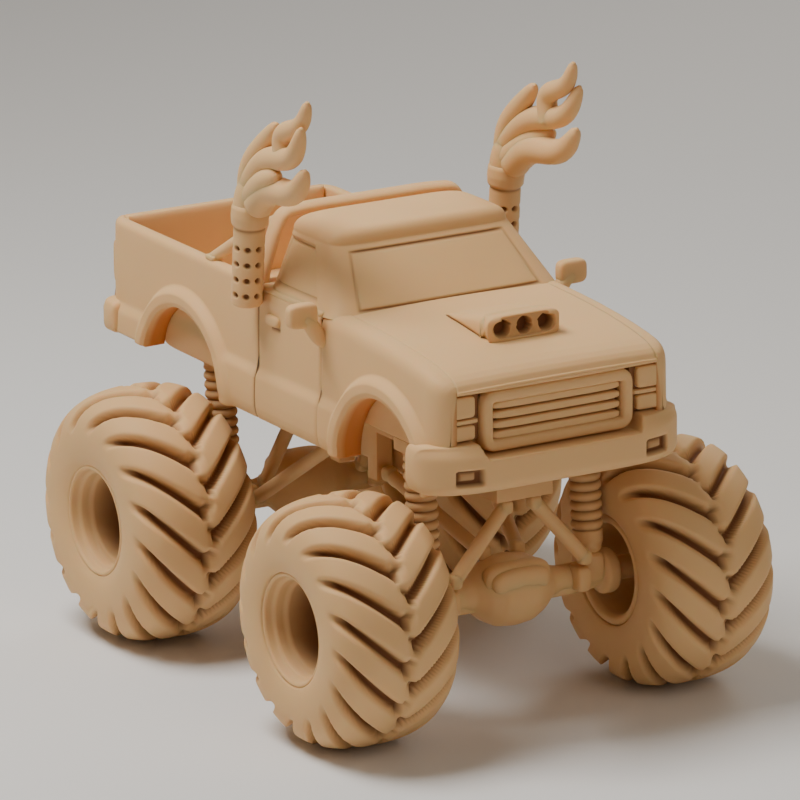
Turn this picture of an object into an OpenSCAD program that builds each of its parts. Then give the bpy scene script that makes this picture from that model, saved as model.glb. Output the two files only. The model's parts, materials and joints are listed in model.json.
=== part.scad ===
// Monster truck display miniature: pickup body on a ladder frame with beam axles,
// coil springs, four balloon tyres and side stacks.
// Frame: +X forward, +Y to the left, +Z up, origin on the ground under the middle.

/* [Overall] */
// Length from the back of the rear bumper to the front of the front tyres
overall_len = 198; // [190:1:240]
// Distance between the axles
wheelbase = 113; // [105:0.5:130]
// Reach of the front bumper ahead of the front axle
nose_reach = 32; // [28:0.5:36]
// Distance between the middles of the left and right tyres
track = 101.7; // [101:0.5:120]

/* [Wheels] */
// Radius of the front tyres over the lugs
tyre_r_front = 35; // [31:0.25:38]
// Radius of the rear tyres over the lugs
tyre_r_rear = 36.75; // [33:0.25:39]
// Width of a tyre
tyre_w = 39; // [34:0.5:40]
// Radius of the tyre's bead on the rim
bead_r = 16; // [14:0.25:18]
// Wall of the rim's barrel
barrel_wall = 3.2; // [2:0.1:5]
// Thickness of the wheel disc
disc_t = 4; // [3:0.25:6]
// Radius of the axle spindle that the wheel turns on
spindle_r = 2.2; // [1.5:0.1:3]
// Radial running clearance of the wheel on its spindle
spindle_gap = 0.08; // [0.05:0.01:0.1]

/* [Body] */
// Half the width of the body at the rocker crease
flank_half = 38.6; // [36:0.2:42]
// Half the width at the belt line
belt_half = 37.2; // [35:0.2:40]
// Height of the sills above the ground
sill_z = 72.5; // [72:0.5:78]
// Height of the rocker crease
crease_z = 85.5; // [83:0.5:88]
// Height of the belt line and of the bed rail
belt_z = 111.5; // [108:0.5:116]
// Height of the roof's middle
roof_z = 131.5; // [127:0.5:137]
// Half the width of the roof
roof_half = 27; // [24:0.5:30]
// Thickness of body walls and doors
wall = 4.2; // [3:0.1:5]
// Height of the body's underside behind the sills
floor_z = 82; // [80:0.5:85]
// Radius of a wheel arch
arch_r = 22.3; // [20:0.1:24]
// Width of the flare round a wheel arch
flare_w = 5.6; // [4:0.1:6]
// How far a flare stands out of the flank
flare_out = 1.6; // [1:0.1:2.5]
// Depth of a wheel arch from the flank to its inner wall
arch_depth = 6.6; // [6:0.1:8]

/* [Bed] */
// Height of the bed floor
bed_floor_z = 89; // [87:0.5:95]
// Thickness of the bed floor
bed_floor_t = 4; // [3:0.25:5]
// Thickness of the tailgate
tailgate_t = 4; // [3:0.1:6]

/* [Fittings] */
// Radius of a side stack
stack_r = 4.5; // [3.5:0.1:5]
// Distance of a stack's foot from the middle of the truck
stack_y = 41.6; // [41.2:0.1:44]
// Forward lean of the stacks in degrees
stack_lean = 6; // [0:0.5:12]
// Length of a stack from its foot to the top of its collar
stack_len = 30; // [24:0.5:36]
// Radius of a coil spring
coil_r = 4.6; // [4:0.1:5.5]
// Radius of a suspension link
link_r = 2.1; // [1.5:0.1:2.6]
// Height of the bumpers
bumper_h = 13; // [10:0.5:16]

/* [Hidden] */
$fn = 96;
gap = 0.3;                                    // assembly gap between neighbouring pieces
front_axle_x = overall_len / 2 - tyre_r_front;
rear_axle_x = front_axle_x - wheelbase;
front_end = front_axle_x + nose_reach;
rear_end = -overall_len / 2;
bed_rear_x = rear_end + 3.5;                  // outer face of the tailgate
bed_front_x = front_axle_x - 71.5;            // split between bed and cab
cowl_x = front_axle_x - 29;                   // foot of the windscreen
nose_x = front_end - 5.5;                     // plane of the grille
header_x = cowl_x - 13;                       // top of the windscreen
cab_rear_x = bed_front_x + gap;
door_front_x = cowl_x - 7.5;
arch_front_x = front_axle_x - 2.5;
arch_rear_x = rear_axle_x - 1;
arch_z = 72.3;                                // height of the arch centres
inner_half = flank_half - arch_depth;         // inner wall of the arches
tub_half = inner_half - 4.2;                  // inside face of the wheel tubs in the bed
nose_z = 105;                                 // front edge of the bonnet
bonnet_t = 4.5;
deck_z = belt_z - bonnet_t - gap;             // top of the engine bay block
rail_y = 15;                                  // middle of a frame rail
rail_w = 5;
rail_top = floor_z - gap;
rail_h = 9;
hub_y = 33.5;                                 // end cap of an axle
axle_r = 4.2;
disc_y = 47.5;                                // inner face of the wheel disc
spindle_end = disc_y + disc_t + 1;
seat_h = 6.8;                                 // spring seat above the axle's middle
coil_y = 26;                                  // middle of a coil spring
coil_lean = 5;                                // how far a spring's top leans back
coil_front_x = front_axle_x + 1.5;
coil_rear_x = rear_axle_x + 2;
tower_z = rail_top - 3.5;                     // underside of the spring towers
mid_z = 62;                                   // links' pivots under the frame
mid_front_x = cowl_x - 12;
mid_rear_x = mid_front_x - 26;
cab_front_x = door_front_x + gap;
bumper_top = 88;
tail_half = 32.6;                             // half the width of the tailgate
diff_r = 10.3;                                // bulge in the middle of an axle
lug_reach = 6.4;                              // link lug ahead of or behind an axle
cross_w = 6;                                  // cross members of the frame
cross_x = [bed_rear_x + 8, rear_axle_x - 3, bed_front_x - 8, mid_front_x - 3, front_axle_x - 4, nose_x - 15];
bead_gap = gap / 6;                           // between a tyre's bead and its rim
// tongues of a flame: root x, root z, tip x, tip y, tip z, radius
flame_tongues = [[2, 14, 21.5, 3, 37.6, 2.2], [3, 12, 26.4, 3.6, 30.2, 2.2], [3, 8, 28.7, 2.6, 18.2, 2.2],
                 [1, 10, -4.6, 0, 23, 2.2]];
side = [["right", -1], ["left", 1]];
ends = [["front", front_axle_x, tyre_r_front], ["rear", rear_axle_x, tyre_r_rear]];

// ---------- helpers ----------

// A round bar between two points
module bar(a, b, r) {
    v = b - a;
    translate(a) rotate([0, acos(v.z / norm(v)), atan2(v.y, v.x)]) cylinder(h = norm(v), r = r);
}

// A box given by its low and high corners
module block(lo, hi) { translate(lo) cube(hi - lo); }

// An outline in the XZ plane, extruded from y0 to y1
module along_y(y0, y1) { translate([0, y1, 0]) rotate([90, 0, 0]) linear_extrude(y1 - y0) children(); }

// An outline in the YZ plane, extruded from x0 to x1
module along_x(x0, x1) {
    translate([x0, 0, 0]) rotate([90, 0, 90]) linear_extrude(x1 - x0) children();
}

// Both flanks' outline across the truck, moved in by d
function flank(d, bottom, top) = [
    [flank_half - 0.8 - d, bottom], [flank_half + 0.6 - d, bottom + 4], [flank_half - d, crease_z],
    [flank_half - 0.9 - d, crease_z + 1.5], [belt_half - d, top]];
function mirrored(p) = concat(p, [for (i = [len(p) - 1 : -1 : 0]) [-p[i].x, p[i].y]]);

// The space of the two wheel arches, from the inner walls outwards
module arch_space(r, y0, y1) {
    for (x = [arch_front_x, arch_rear_x], s = [-1, 1])
        along_y(min(s * y0, s * y1), max(s * y0, s * y1)) {
            translate([x, arch_z]) circle(r);
            translate([x - r, sill_z - 10]) square([2 * r, arch_z - sill_z + 10]);
        }
}

// The slab of one flank between two places along the truck, with its arch cut away
module flank_wall(s, x0, x1, bottom, top) {
    difference() {
        along_x(x0, x1) polygon([for (p = concat(flank(0, bottom, top),
            [[belt_half - wall, top], [flank_half - wall - 1, bottom]])) [s * p.x, p.y]]);
        arch_space(arch_r, inner_half, flank_half + 5);
    }
}

// The raised band round one arch
module flare(x, s) {
    along_y(min(s * (flank_half - 1.6), s * (flank_half + flare_out)),
            max(s * (flank_half - 1.6), s * (flank_half + flare_out)))
        difference() {
            translate([x, arch_z]) circle(arch_r + flare_w);
            translate([x, arch_z]) circle(arch_r);
            translate([x - 40, sill_z - 40]) square([80, 40 + 5]);
        }
}

// Notches in the flanks that take the side stacks
module stack_notches() {
    for (s = [-1, 1])
        translate([bed_front_x + 0.8, s * stack_y, belt_z - 6]) rotate([0, stack_lean, 0])
            translate([0, 0, -3]) cylinder(h = 40, r = stack_r + gap);
}

// ---------- running gear ----------

module chassis_frame() color("burlywood") {
    for (s = [-1, 1])
        block([bed_rear_x + 6, s * rail_y - rail_w / 2, rail_top - rail_h],
              [nose_x - 9, s * rail_y + rail_w / 2, rail_top]);
    for (x = cross_x)
        block([x, -rail_y, rail_top - rail_h + 1], [x + cross_w, rail_y, rail_top - 1]);
    // towers that carry the tops of the coil springs
    for (x = [coil_front_x - coil_lean, coil_rear_x - coil_lean], s = [-1, 1])
        block([x - 5, min(s * rail_y, s * (coil_y + 5)), tower_z], [x + 5, max(s * rail_y, s * (coil_y + 5)), rail_top]);
    // bracket for the front links, and pivots for the links to the middle of the frame
    block([front_axle_x - 3, -9, 63.5], [front_axle_x + 9.5, 9, rail_top - rail_h + 2]);
    for (x = [mid_front_x - 5, mid_rear_x], s = [-1, 1])
        block([x, s * rail_y - rail_w / 2, mid_z - 3.5], [x + 5, s * rail_y + rail_w / 2, rail_top - rail_h + 1]);
}

module transfer_case() color("burlywood") {
    block([mid_rear_x, -11, 60], [mid_front_x + 4, 11, rail_top - rail_h + 1 - gap]);
    block([mid_rear_x - 8, -7, 62.5], [mid_rear_x, 7, 70]);
    translate([mid_front_x + 4, 0, 66]) rotate([0, 90, 0]) cylinder(h = 8, r = 4.5);
    translate([(mid_front_x + mid_rear_x) / 2, 0, 57.5]) cylinder(h = 3, r = 7);
}

// Beam axle: tube, differential bulge, end caps, spring seats and spindles
module beam_axle(x, z, front) color("tan") {
    bar([x, -hub_y, z], [x, hub_y, z], axle_r);
    translate([x, 0, z]) sphere(diff_r);
    translate([x, 0, z]) rotate([0, front * 90, 0]) cylinder(h = 8.6, r = 7.5);
    for (s = [-1, 1]) {
        bar([x, s * (hub_y - 4), z], [x, s * hub_y, z], 6.4);
        bar([x, s * hub_y, z], [x, s * spindle_end, z], spindle_r);
        bar([x, s * hub_y, z], [x, s * (disc_y - 1), z], 3.4);
        block([min(x - 4, x + 4 * front), s * coil_y - 3.2, z], [x + 5, s * coil_y + 3.2, z + seat_h]);
        // lug for the links, ahead of the front axle or behind the rear one's spring
        block([x, s * 21 - 2, z - 3], [x + lug_reach, s * 21 + 2, z + 4.2]);
    }
}

module front_axle() beam_axle(front_axle_x, tyre_r_front, 1);
module rear_axle() beam_axle(rear_axle_x, tyre_r_rear, -1);

// Links of the front axle: a pair from under the nose, and a pair back to the frame
module front_links() color("tan") {
    top_z = 63.5 - gap - link_r;
    for (s = [-1, 1]) {
        bar([front_axle_x + 6.5, s * 5, top_z], [front_axle_x + 6.5, s * 20.5, tyre_r_front + 4.2 + link_r], link_r);
        bar([front_axle_x - 4, s * 5.5, tyre_r_front + diff_r - 0.3],
            [mid_front_x + 2.2, s * rail_y, mid_z - 1], link_r);
    }
    bar([front_axle_x + 6.5, -7, top_z], [front_axle_x + 6.5, 7, top_z], link_r);
}

// Links of the rear axle: long lower pair and steep upper pair
module rear_links() color("tan") {
    for (s = [-1, 1]) {
        bar([rear_axle_x + lug_reach + 1.7, s * 20, tyre_r_rear + 1], [mid_rear_x - 1.6, s * 15, mid_z], link_r);
        bar([rear_axle_x + 5.4, s * 16, tyre_r_rear + 4.4], [bed_front_x - 16, s * 15, rail_top - rail_h - 1.9], link_r);
    }
}

// Coil spring on its damper: slim lower can and ringed spring
module coilover(x, s, z) color("tan") {
    tilt = coil_r * coil_lean / (tower_z - z - seat_h);
    top = [x - coil_lean, s * (coil_y + 0.4), tower_z - gap - tilt];
    foot = [x, s * coil_y, z + seat_h + gap + tilt * 0.7];
    bar(foot, top, coil_r * 0.7);
    bar(foot + 0.25 * (top - foot), top, coil_r);
}

// Balloon tyre turned about its axle: bead, rounded sidewall and full crown
module tyre(x, r, s) color("tan") {
    h = tyre_w / 2;
    translate([x, s * track / 2, r]) rotate([90, 0, 0]) rotate_extrude()
        polygon([[bead_r + bead_gap, -h + 1.2], [bead_r + 2.5, -h], [r - 11.5, -h], [r - 3.6, -h + 2.6],
                 [r - 0.8, -h * 0.5], [r, -h * 0.22], [r, h * 0.22], [r - 0.8, h * 0.5],
                 [r - 3.6, h - 2.6], [r - 11.5, h], [bead_r + 2.5, h], [bead_r + bead_gap, h - 1.2]]);
}

// Deep-dish rim: barrel in steps, disc and hub boss with a blind bore for the spindle
module rim(x, r, s) color("tan") {
    h = tyre_w / 2 - 1.2;
    inner = bead_r - barrel_wall;
    y_disc = disc_y - track / 2;                    // wheel-local, outwards positive
    translate([x, s * track / 2, r]) rotate([-90 * s, 0, 0])
        difference() {
            rotate_extrude() polygon([
                [spindle_r + spindle_gap, y_disc], [5.2, y_disc], [inner, y_disc], [inner, -h + 3],
                [inner + 1.2, -h], [bead_r, -h], [bead_r, h], [inner + 1.6, h],
                [inner + 1.2, h - 3.5], [inner, h - 6.5], [inner - 1.2, y_disc + disc_t],
                [6.2, y_disc + disc_t], [5.2, y_disc + disc_t + 2.4],
                [0, y_disc + disc_t + 2.4], [0, spindle_end - track / 2 + 0.4],
                [spindle_r + spindle_gap, spindle_end - track / 2 + 0.4]]);
        }
}

// ---------- body ----------

// Block behind the grille that carries bonnet, wings and nose
module engine_bay() color("burlywood")
    block([cab_front_x, -inner_half + gap, floor_z], [nose_x - 4, inner_half - gap, nose_z - 3 - gap]);

// Closed cab: base with sills, and a glasshouse that narrows to the roof
module cab() color("burlywood")
    difference() {
        union() {
            intersection() {
                along_x(cab_rear_x, cab_front_x - gap) polygon(mirrored(flank(0, sill_z, belt_z)));
                block([cab_rear_x, -60, floor_z], [cab_front_x - gap, 60, belt_z]);
            }
            along_x(cab_front_x - 1, cowl_x)
                polygon([[-inner_half, deck_z], [inner_half, deck_z], [inner_half, belt_z], [-inner_half, belt_z]]);
            // glasshouse
            intersection() {
                along_x(cab_rear_x, cowl_x) polygon([[-belt_half, belt_z - 1], [belt_half, belt_z - 1],
                    [roof_half + 2.5, roof_z - 4.5], [roof_half - 4, roof_z - 1], [0, roof_z],
                    [-roof_half + 4, roof_z - 1], [-roof_half - 2.5, roof_z - 4.5]]);
                along_y(-60, 60) polygon([[cab_rear_x, belt_z - 1], [cowl_x, belt_z - 1], [cowl_x, belt_z],
                    [header_x, roof_z - 4], [header_x - 5, roof_z], [cab_rear_x + 5, roof_z],
                    [cab_rear_x + 0.8, roof_z - 3]]);
            }
        }
        // door openings, from the outside to the thickness of a door
        for (s = [-1, 1])
            block([cab_rear_x + 2, min(s * (belt_half - wall), s * 60), floor_z - 1],
                  [60, max(s * (belt_half - wall), s * 60), belt_z - 1.2]);
        for (s = [-1, 1]) side_pane(s, gap);
        screen_pane(gap);
        rear_pane(gap);
        stack_notches();
    }

// Door skin with its sill, handle and lower crease
module door(s) color("burlywood")
    difference() {
        union() {
            intersection() {
                flank_wall(s, cab_rear_x + 2 + gap, door_front_x, sill_z, belt_z - 1.5);
                block([cab_rear_x, -60, sill_z - 1], [60, 60, belt_z - 1.5]);
            }
            // pull handle
            block([bed_front_x + 5.5, min(s * 36, s * 39.2), 101.5], [bed_front_x + 13, max(s * 36, s * 39.2), 103.8]);
        }
        stack_notches();
        arch_space(arch_r + 0.5, inner_half - 2, flank_half + 5);
    }

// Pane in the side of the glasshouse
module side_pane(s, grow) {
    lean = atan((belt_half - roof_half - 2.5) / (roof_z - 3.5 - belt_z));
    translate([0, s * (belt_half + 0.2), belt_z - 1]) rotate([s * lean, 0, 0])
        along_y(min(0, -s * (2.4 + grow)), max(0, -s * (2.4 + grow)))
            polygon([[2.5 - grow, 2 - grow], [28.5 + grow, 2 - grow], [20.5 + grow, 15.5 + grow],
                     [6 - grow, 15.5 + grow]]);
}
module side_window(s) color("wheat")
    intersection() { side_pane(s, 0); glass_space(); }

// Pane of the windscreen, let into the slope between cowl and header
module screen_pane(grow) {
    run = cowl_x - header_x;
    rise = roof_z - 4 - belt_z;
    slope = atan(rise / run);
    len = norm([run, rise]);
    translate([cowl_x, 0, belt_z]) rotate([0, slope, 0]) rotate([0, 0, 90])
        translate([0, 0, -2.2 - grow]) linear_extrude(4)
            polygon([[-27.6 - grow, 2 - grow], [27.6 + grow, 2 - grow],
                     [23.6 + grow, len - 1.6 + grow], [-23.6 - grow, len - 1.6 + grow]]);
}
module windscreen() color("wheat")
    intersection() { screen_pane(0); glass_space(); }

// Pane in the back of the glasshouse
module rear_pane(grow) {
    along_x(cab_rear_x - 1, cab_rear_x + 2.6 + grow)
        polygon([[-24 - grow, belt_z + 2.5 - grow], [24 + grow, belt_z + 2.5 - grow],
                 [20.5 + grow, roof_z - 7 + grow], [-20.5 - grow, roof_z - 7 + grow]]);
}
module rear_window() color("wheat")
    intersection() { rear_pane(0); glass_space(); }

// The outer shape of the glasshouse, which the panes end flush with
module glass_space() {
    intersection() {
        along_x(cab_rear_x + 0.3, cowl_x) polygon([[-belt_half, belt_z - 1], [belt_half, belt_z - 1],
            [roof_half + 2.5, roof_z - 4.5], [0, roof_z], [-roof_half - 2.5, roof_z - 4.5]]);
        along_y(-60, 60) polygon([[cab_rear_x, belt_z - 1], [cowl_x, belt_z - 1], [cowl_x, belt_z],
            [header_x, roof_z - 4], [cab_rear_x, roof_z]]);
    }
}

// Bonnet: crowned slab from the windscreen's foot to the grille
module bonnet() color("burlywood")
    intersection() {
        along_y(-60, 60) polygon([[cowl_x + gap, belt_z - bonnet_t], [nose_x - 5, nose_z - 3],
            [nose_x - 1.4, nose_z - 3], [nose_x - 1.4, nose_z - 1.6], [nose_x - 3, nose_z], [nose_x - 15, nose_z + 3.2],
            [cowl_x + 24, belt_z - 1.2], [cowl_x + gap, belt_z]]);
        along_x(cowl_x + gap, nose_x) polygon([[-inner_half + gap, 90], [inner_half - gap, 90],
            [inner_half - gap, belt_z - 1.4], [20, belt_z - 0.2], [0, belt_z], [-20, belt_z - 0.2],
            [-inner_half + gap, belt_z - 1.4]]);
    }

// Raised air scoop with three throats in its mouth
module bonnet_scoop() color("wheat")
    translate([front_axle_x - 15.5, 0, 0]) difference() {
        intersection() {
            along_y(-11.5, 11.5) polygon([[0, belt_z + gap], [26, belt_z + gap - 0.1], [25, belt_z + 6.2],
                [22, belt_z + 7], [15, belt_z + 7], [1.5, belt_z + 1.2]]);
            along_x(0, 30) polygon([[-11.5, belt_z], [11.5, belt_z], [10.6, belt_z + 4.8], [8.4, belt_z + 7],
                [-8.4, belt_z + 7], [-10.6, belt_z + 4.8]]);
        }
        for (y = [-5.8, 0, 5.8])
            translate([20, y, belt_z + 3.6]) rotate([0, 90, 0]) cylinder(h = 8, r = 2.1);
    }

// Front wing with its arch and flare
module wing(s) color("burlywood")
    difference() {
        union() {
            intersection() {
                union() {
                    flank_wall(s, cab_front_x, nose_x - 1.4, sill_z, belt_z - 1.2);
                    along_x(cab_front_x, nose_x - 1.4) polygon([for (p = [[inner_half, deck_z - 12],
                        [belt_half - 0.5, deck_z - 12], [belt_half, belt_z - 2], [belt_half - 1, belt_z - 1.2],
                        [inner_half, belt_z - 1.2]]) [s * p.x, p.y]]);
                }
                along_y(-60, 60) polygon([[cab_front_x, sill_z - 1], [nose_x - 12, sill_z - 1],
                    [nose_x - 12, bumper_top + gap], [nose_x, bumper_top + gap], [nose_x, nose_z - 3],
                    [nose_x - 3, nose_z - 1], [nose_x - 15, nose_z + 2.2], [cowl_x + 24, belt_z - 1.6], [cab_front_x, belt_z - 1]]);
            }
            flare(arch_front_x, s);
        }
        arch_space(arch_r, inner_half, flank_half + 5);
        block([nose_x - 1.4, -60, sill_z], [nose_x + 20, 60, 130]);
        block([nose_x - 12, -60, sill_z - 10], [nose_x + 20, 60, bumper_top + gap]);
        headlamp_seat(s, gap);
    }

// Frame of the grille, which drops into a notch of the bumper
module grille_surround() color("burlywood") {
    difference() {
        block([nose_x - 3.6, -24, bumper_top - 3.6], [nose_x + 1.4, 24, nose_z - 3.4]);
        block([nose_x - 10, -20.5, bumper_top - 0.6], [nose_x + 10, 20.5, nose_z - 6.4]);
    }
}

// Horizontal slats inside the grille frame, on their back plate
module grille_slats() color("wheat") {
    block([nose_x - 3.2, -20.5 + gap, bumper_top - 0.3], [nose_x - 1.4, 20.5 - gap, nose_z - 6.7]);
    pitch = (nose_z - 6.7 - bumper_top + 0.3) / 5;
    for (i = [0 : 4])
        block([nose_x - 2, -20.5 + gap, bumper_top - 0.3 + (i + 0.25) * pitch],
              [nose_x + 0.6, 20.5 - gap, bumper_top - 0.3 + (i + 0.85) * pitch]);
}

// Seat of a headlamp, and the lamp: two stacked lenses beside the grille
module headlamp_seat(s, grow) {
    block([nose_x - 6 - grow, min(s * (24.3 - grow), s * (36.6 + grow)), bumper_top + 1 - grow],
          [nose_x + 10, max(s * (24.3 - grow), s * (36.6 + grow)), nose_z - 3.4 + grow]);
}
module headlamp(s) color("wheat") {
    mid = (bumper_top + nose_z - 2.4) / 2;
    block([nose_x - 3.7, min(s * 24.4, s * 36.4), bumper_top + 1.2], [nose_x - 1.2, max(s * 24.4, s * 36.4), nose_z - 3.6]);
    for (z = [[bumper_top + 1.8, mid - 0.6], [mid + 0.6, nose_z - 4.4]])
        block([nose_x - 2, min(s * 25.2, s * 35.8), z[0]], [nose_x + 0.4, max(s * 25.2, s * 35.8), z[1]]);
}

// Bumper that wraps the nose, notched under the grille, with two fog-lamp recesses
module front_bumper() color("burlywood")
    difference() {
        bumper_block(front_end, nose_x - 12, 41.8, bumper_top - bumper_h - 1, bumper_top);
        block([nose_x - 4, -24.3, bumper_top - 4], [front_end + 1, 24.3, bumper_top + 1]);
        arch_space(arch_r, 0, 60);
        for (s = [-1, 1])
            block([front_end - 2.6, s * 29.8 - 4, 78.4], [front_end + 1, s * 29.8 + 4, 82.2]);
    }

// Bumper bar in plan: straight across the end, with cut corners and returns along the flanks
module bumper_block(x_end, x_back, half, z0, z1) {
    d = sign(x_end - x_back);
    difference() {
        translate([0, 0, z0]) linear_extrude(z1 - z0)
            polygon([[x_back, -half + 1], [x_end - d * 8, -half], [x_end - d * 2.5, -half + 5],
                     [x_end, -half + 12], [x_end, half - 12], [x_end - d * 2.5, half - 5],
                     [x_end - d * 8, half], [x_back, half - 1]]);
        block([min(x_back - d, x_end - d * 7), -inner_half, z0 - 1],
              [max(x_back - d, x_end - d * 7), inner_half, z1 + 1]);
    }
}

module rear_bumper() color("burlywood")
    bumper_block(rear_end, rear_end + 11, 40.6, sill_z + 5.5, bumper_top);

// Load bed: floor, side walls with arches and flares, front wall and wheel tubs
module bed() color("burlywood")
    difference() {
        union() {
            for (s = [-1, 1]) {
                flank_wall(s, bed_rear_x + 1, bed_front_x - gap, sill_z, belt_z);
                block([bed_rear_x + 1, min(s * tub_half, s * (belt_half - wall + 0.5)), floor_z],
                      [bed_front_x - gap, max(s * tub_half, s * (belt_half - wall + 0.5)), 97]);
                flare(arch_rear_x, s);
            }
            block([bed_rear_x + tailgate_t + gap, -inner_half, bed_floor_z - bed_floor_t],
                  [bed_front_x - gap, inner_half, bed_floor_z]);
            block([bed_front_x - 3.6, -belt_half + 1, floor_z], [bed_front_x - gap, belt_half - 1, belt_z]);
        }
        // the sill rises behind the rear arch, and the rear bumper wraps the corner
        block([bed_rear_x - 5, -60, sill_z - 5], [arch_rear_x - arch_r + 2, 60, sill_z + 5.2]);
        block([rear_end - 1, -60, sill_z - 1], [rear_end + 11 + gap, 60, bumper_top + gap]);
        // opening for the tailgate
        block([bed_rear_x - 5, -tail_half - gap, 60], [bed_rear_x + tailgate_t + gap, tail_half + gap, 140]);
        // inner face of the wheel tubs ends before the tailgate and the front wall
        block([bed_rear_x - 5, -inner_half + 1, bed_floor_z], [arch_rear_x - arch_r - 2, inner_half - 1, 140]);
        block([arch_rear_x + arch_r + 2, -inner_half + 1, bed_floor_z], [bed_front_x - 3.6, inner_half - 1, 140]);
        arch_space(arch_r, inner_half, flank_half + 5);
        stack_notches();
        for (s = [-1, 1]) tail_lamp_box(s, gap);
    }

module tailgate() color("burlywood")
    block([bed_rear_x, -tail_half, bumper_top + gap], [bed_rear_x + tailgate_t, tail_half, belt_z + 0.3]);

// Upright tail lamps at the rear corners of the bed
module tail_lamp_box(s, grow) {
    block([bed_rear_x + 0.2 - 10 * grow, min(s * (33.6 - grow), s * (36.2 + grow)), 92 - grow],
          [bed_rear_x + 2.4 + grow, max(s * (33.6 - grow), s * (36.2 + grow)), 105 + grow]);
}
module tail_lamps() color("wheat") for (s = [-1, 1]) tail_lamp_box(s, 0);

// Flat hoop behind the cab with a brace to each bed rail
module roll_hoop() color("wheat") {
    hoop_x = bed_front_x - 3.2;
    difference() {
        along_x(hoop_x - 2.6, hoop_x + 2.8) polygon([[-33.5, belt_z + gap], [-33.2, belt_z + 8], [-30, roof_z - 4],
            [-25, roof_z + 1.2], [0, roof_z + 2.4], [25, roof_z + 1.2], [30, roof_z - 4],
            [33.2, belt_z + 8], [33.5, belt_z + gap]]);
        along_x(hoop_x - 10, hoop_x + 10) polygon([[-28.8, belt_z], [-28.4, belt_z + 8], [-25.6, roof_z - 6.4],
            [-22.4, roof_z - 3.4], [0, roof_z - 2.2], [22.4, roof_z - 3.4], [25.6, roof_z - 6.4],
            [28.4, belt_z + 8], [28.8, belt_z]]);
    }
    for (s = [-1, 1])
        difference() {
            bar([hoop_x - 2, s * 29, roof_z - 7], [hoop_x - 29, s * 34.6, belt_z], 2);
            block([-60, -60, belt_z - 10], [60, 60, belt_z + gap]);
        }
}

// Door mirror: rounded head on an arm
module mirror(s) color("wheat") {
    intersection() {
        translate([door_front_x + 0.2, s * 43.6, belt_z]) sphere(5.2);
        block([door_front_x - 1.9, -60, belt_z - 3.6], [door_front_x + 2.3, 60, belt_z + 3.4]);
    }
    bar([door_front_x - 0.7, s * 41, belt_z - 2.8], [door_front_x - 2, s * (belt_half + 1.8), belt_z - 6.7], 1.7);
}

// Side stack: perforated tube with a thick collar
module stack(s) color("tan")
    translate([bed_front_x + 0.8, s * stack_y, belt_z - 5]) rotate([0, stack_lean, 0]) {
        cylinder(h = stack_len - 5, r = stack_r);
        translate([0, 0, stack_len - 6.5]) cylinder(h = 6.5, r = stack_r + 0.7);
    }

// Stylised flame on a stack: a stem that curls forward into tongues
module flame(s) color("tan")
    translate([bed_front_x + 0.8, s * stack_y, belt_z - 5]) rotate([0, stack_lean, 0])
        translate([0, 0, stack_len + gap]) {
            cylinder(h = 8, r = stack_r);
            bar([0, 0, 7], [3, 0, 16], 4);
            for (t = flame_tongues)
                bar([t[0], 0, t[1]], [t[2], s * t[3], t[4]], t[5]);
        }

// ---------- assembly ----------
chassis_frame();
transfer_case();
engine_bay();
cab();
windscreen();
rear_window();
bonnet();
bonnet_scoop();
grille_surround();
grille_slats();
front_bumper();
rear_bumper();
bed();
tailgate();
tail_lamps();
roll_hoop();
front_axle();
rear_axle();
front_links();
rear_links();
for (s = side) {
    door(s[1]);
    side_window(s[1]);
    wing(s[1]);
    headlamp(s[1]);
    mirror(s[1]);
    stack(s[1]);
    flame(s[1]);
    for (e = ends) {
        tyre(e[1], e[2], s[1]);
        rim(e[1], e[2], s[1]);
        coilover(e[0] == "front" ? coil_front_x : coil_rear_x, s[1], e[2]);
    }
}
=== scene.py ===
"""Looks of a cast-resin monster truck display model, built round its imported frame.

Lengths in the code are millimetres in the frame's axes (+X forward, +Y left, +Z up). They turn
into metres where a mesh is made.
"""
import json
import bmesh
import bpy
import numpy as np
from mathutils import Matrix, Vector


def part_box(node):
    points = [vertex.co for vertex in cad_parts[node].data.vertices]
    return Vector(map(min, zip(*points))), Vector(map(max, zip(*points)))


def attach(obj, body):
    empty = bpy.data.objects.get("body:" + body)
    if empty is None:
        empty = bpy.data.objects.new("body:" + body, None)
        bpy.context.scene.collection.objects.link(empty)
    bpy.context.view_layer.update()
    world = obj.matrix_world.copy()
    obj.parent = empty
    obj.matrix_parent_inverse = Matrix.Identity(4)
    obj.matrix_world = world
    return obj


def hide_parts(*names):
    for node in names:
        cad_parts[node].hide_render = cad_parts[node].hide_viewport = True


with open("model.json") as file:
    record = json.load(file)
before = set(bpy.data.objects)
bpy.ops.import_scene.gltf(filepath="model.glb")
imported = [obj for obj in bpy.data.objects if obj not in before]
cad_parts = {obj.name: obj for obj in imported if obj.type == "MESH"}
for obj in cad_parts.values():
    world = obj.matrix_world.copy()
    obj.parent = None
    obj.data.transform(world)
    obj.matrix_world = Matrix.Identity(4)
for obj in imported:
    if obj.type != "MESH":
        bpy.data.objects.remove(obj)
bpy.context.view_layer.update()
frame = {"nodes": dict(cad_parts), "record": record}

bl_info = {
    "name": "Monster truck display model",
    "version": (1, 0, 0),
    "blender": (4, 5, 0),
    "location": "View3D > Sidebar > Truck",
    "description": "Builds the resin surfaces of a monster truck display model round its frame",
    "category": "Add Mesh",
}

MM = 0.001
TAU = 2.0 * np.pi
ROOT = "truck"
SIDES = (("right", -1.0), ("left", 1.0))
ENDS = ("front", "rear")


def node_box(node):
    """Lowest and highest corner of a CAD node, in millimetres."""
    low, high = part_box(node)
    return np.array(low) / MM, np.array(high) / MM


# ---------- surfaces ----------

def smoothstep(low, high, value):
    """0 below low, 1 above high, and t t (3 - 2 t) between."""
    t = np.clip((value - low) / (high - low), 0.0, 1.0)
    return t * t * (3.0 - 2.0 * t)


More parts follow.
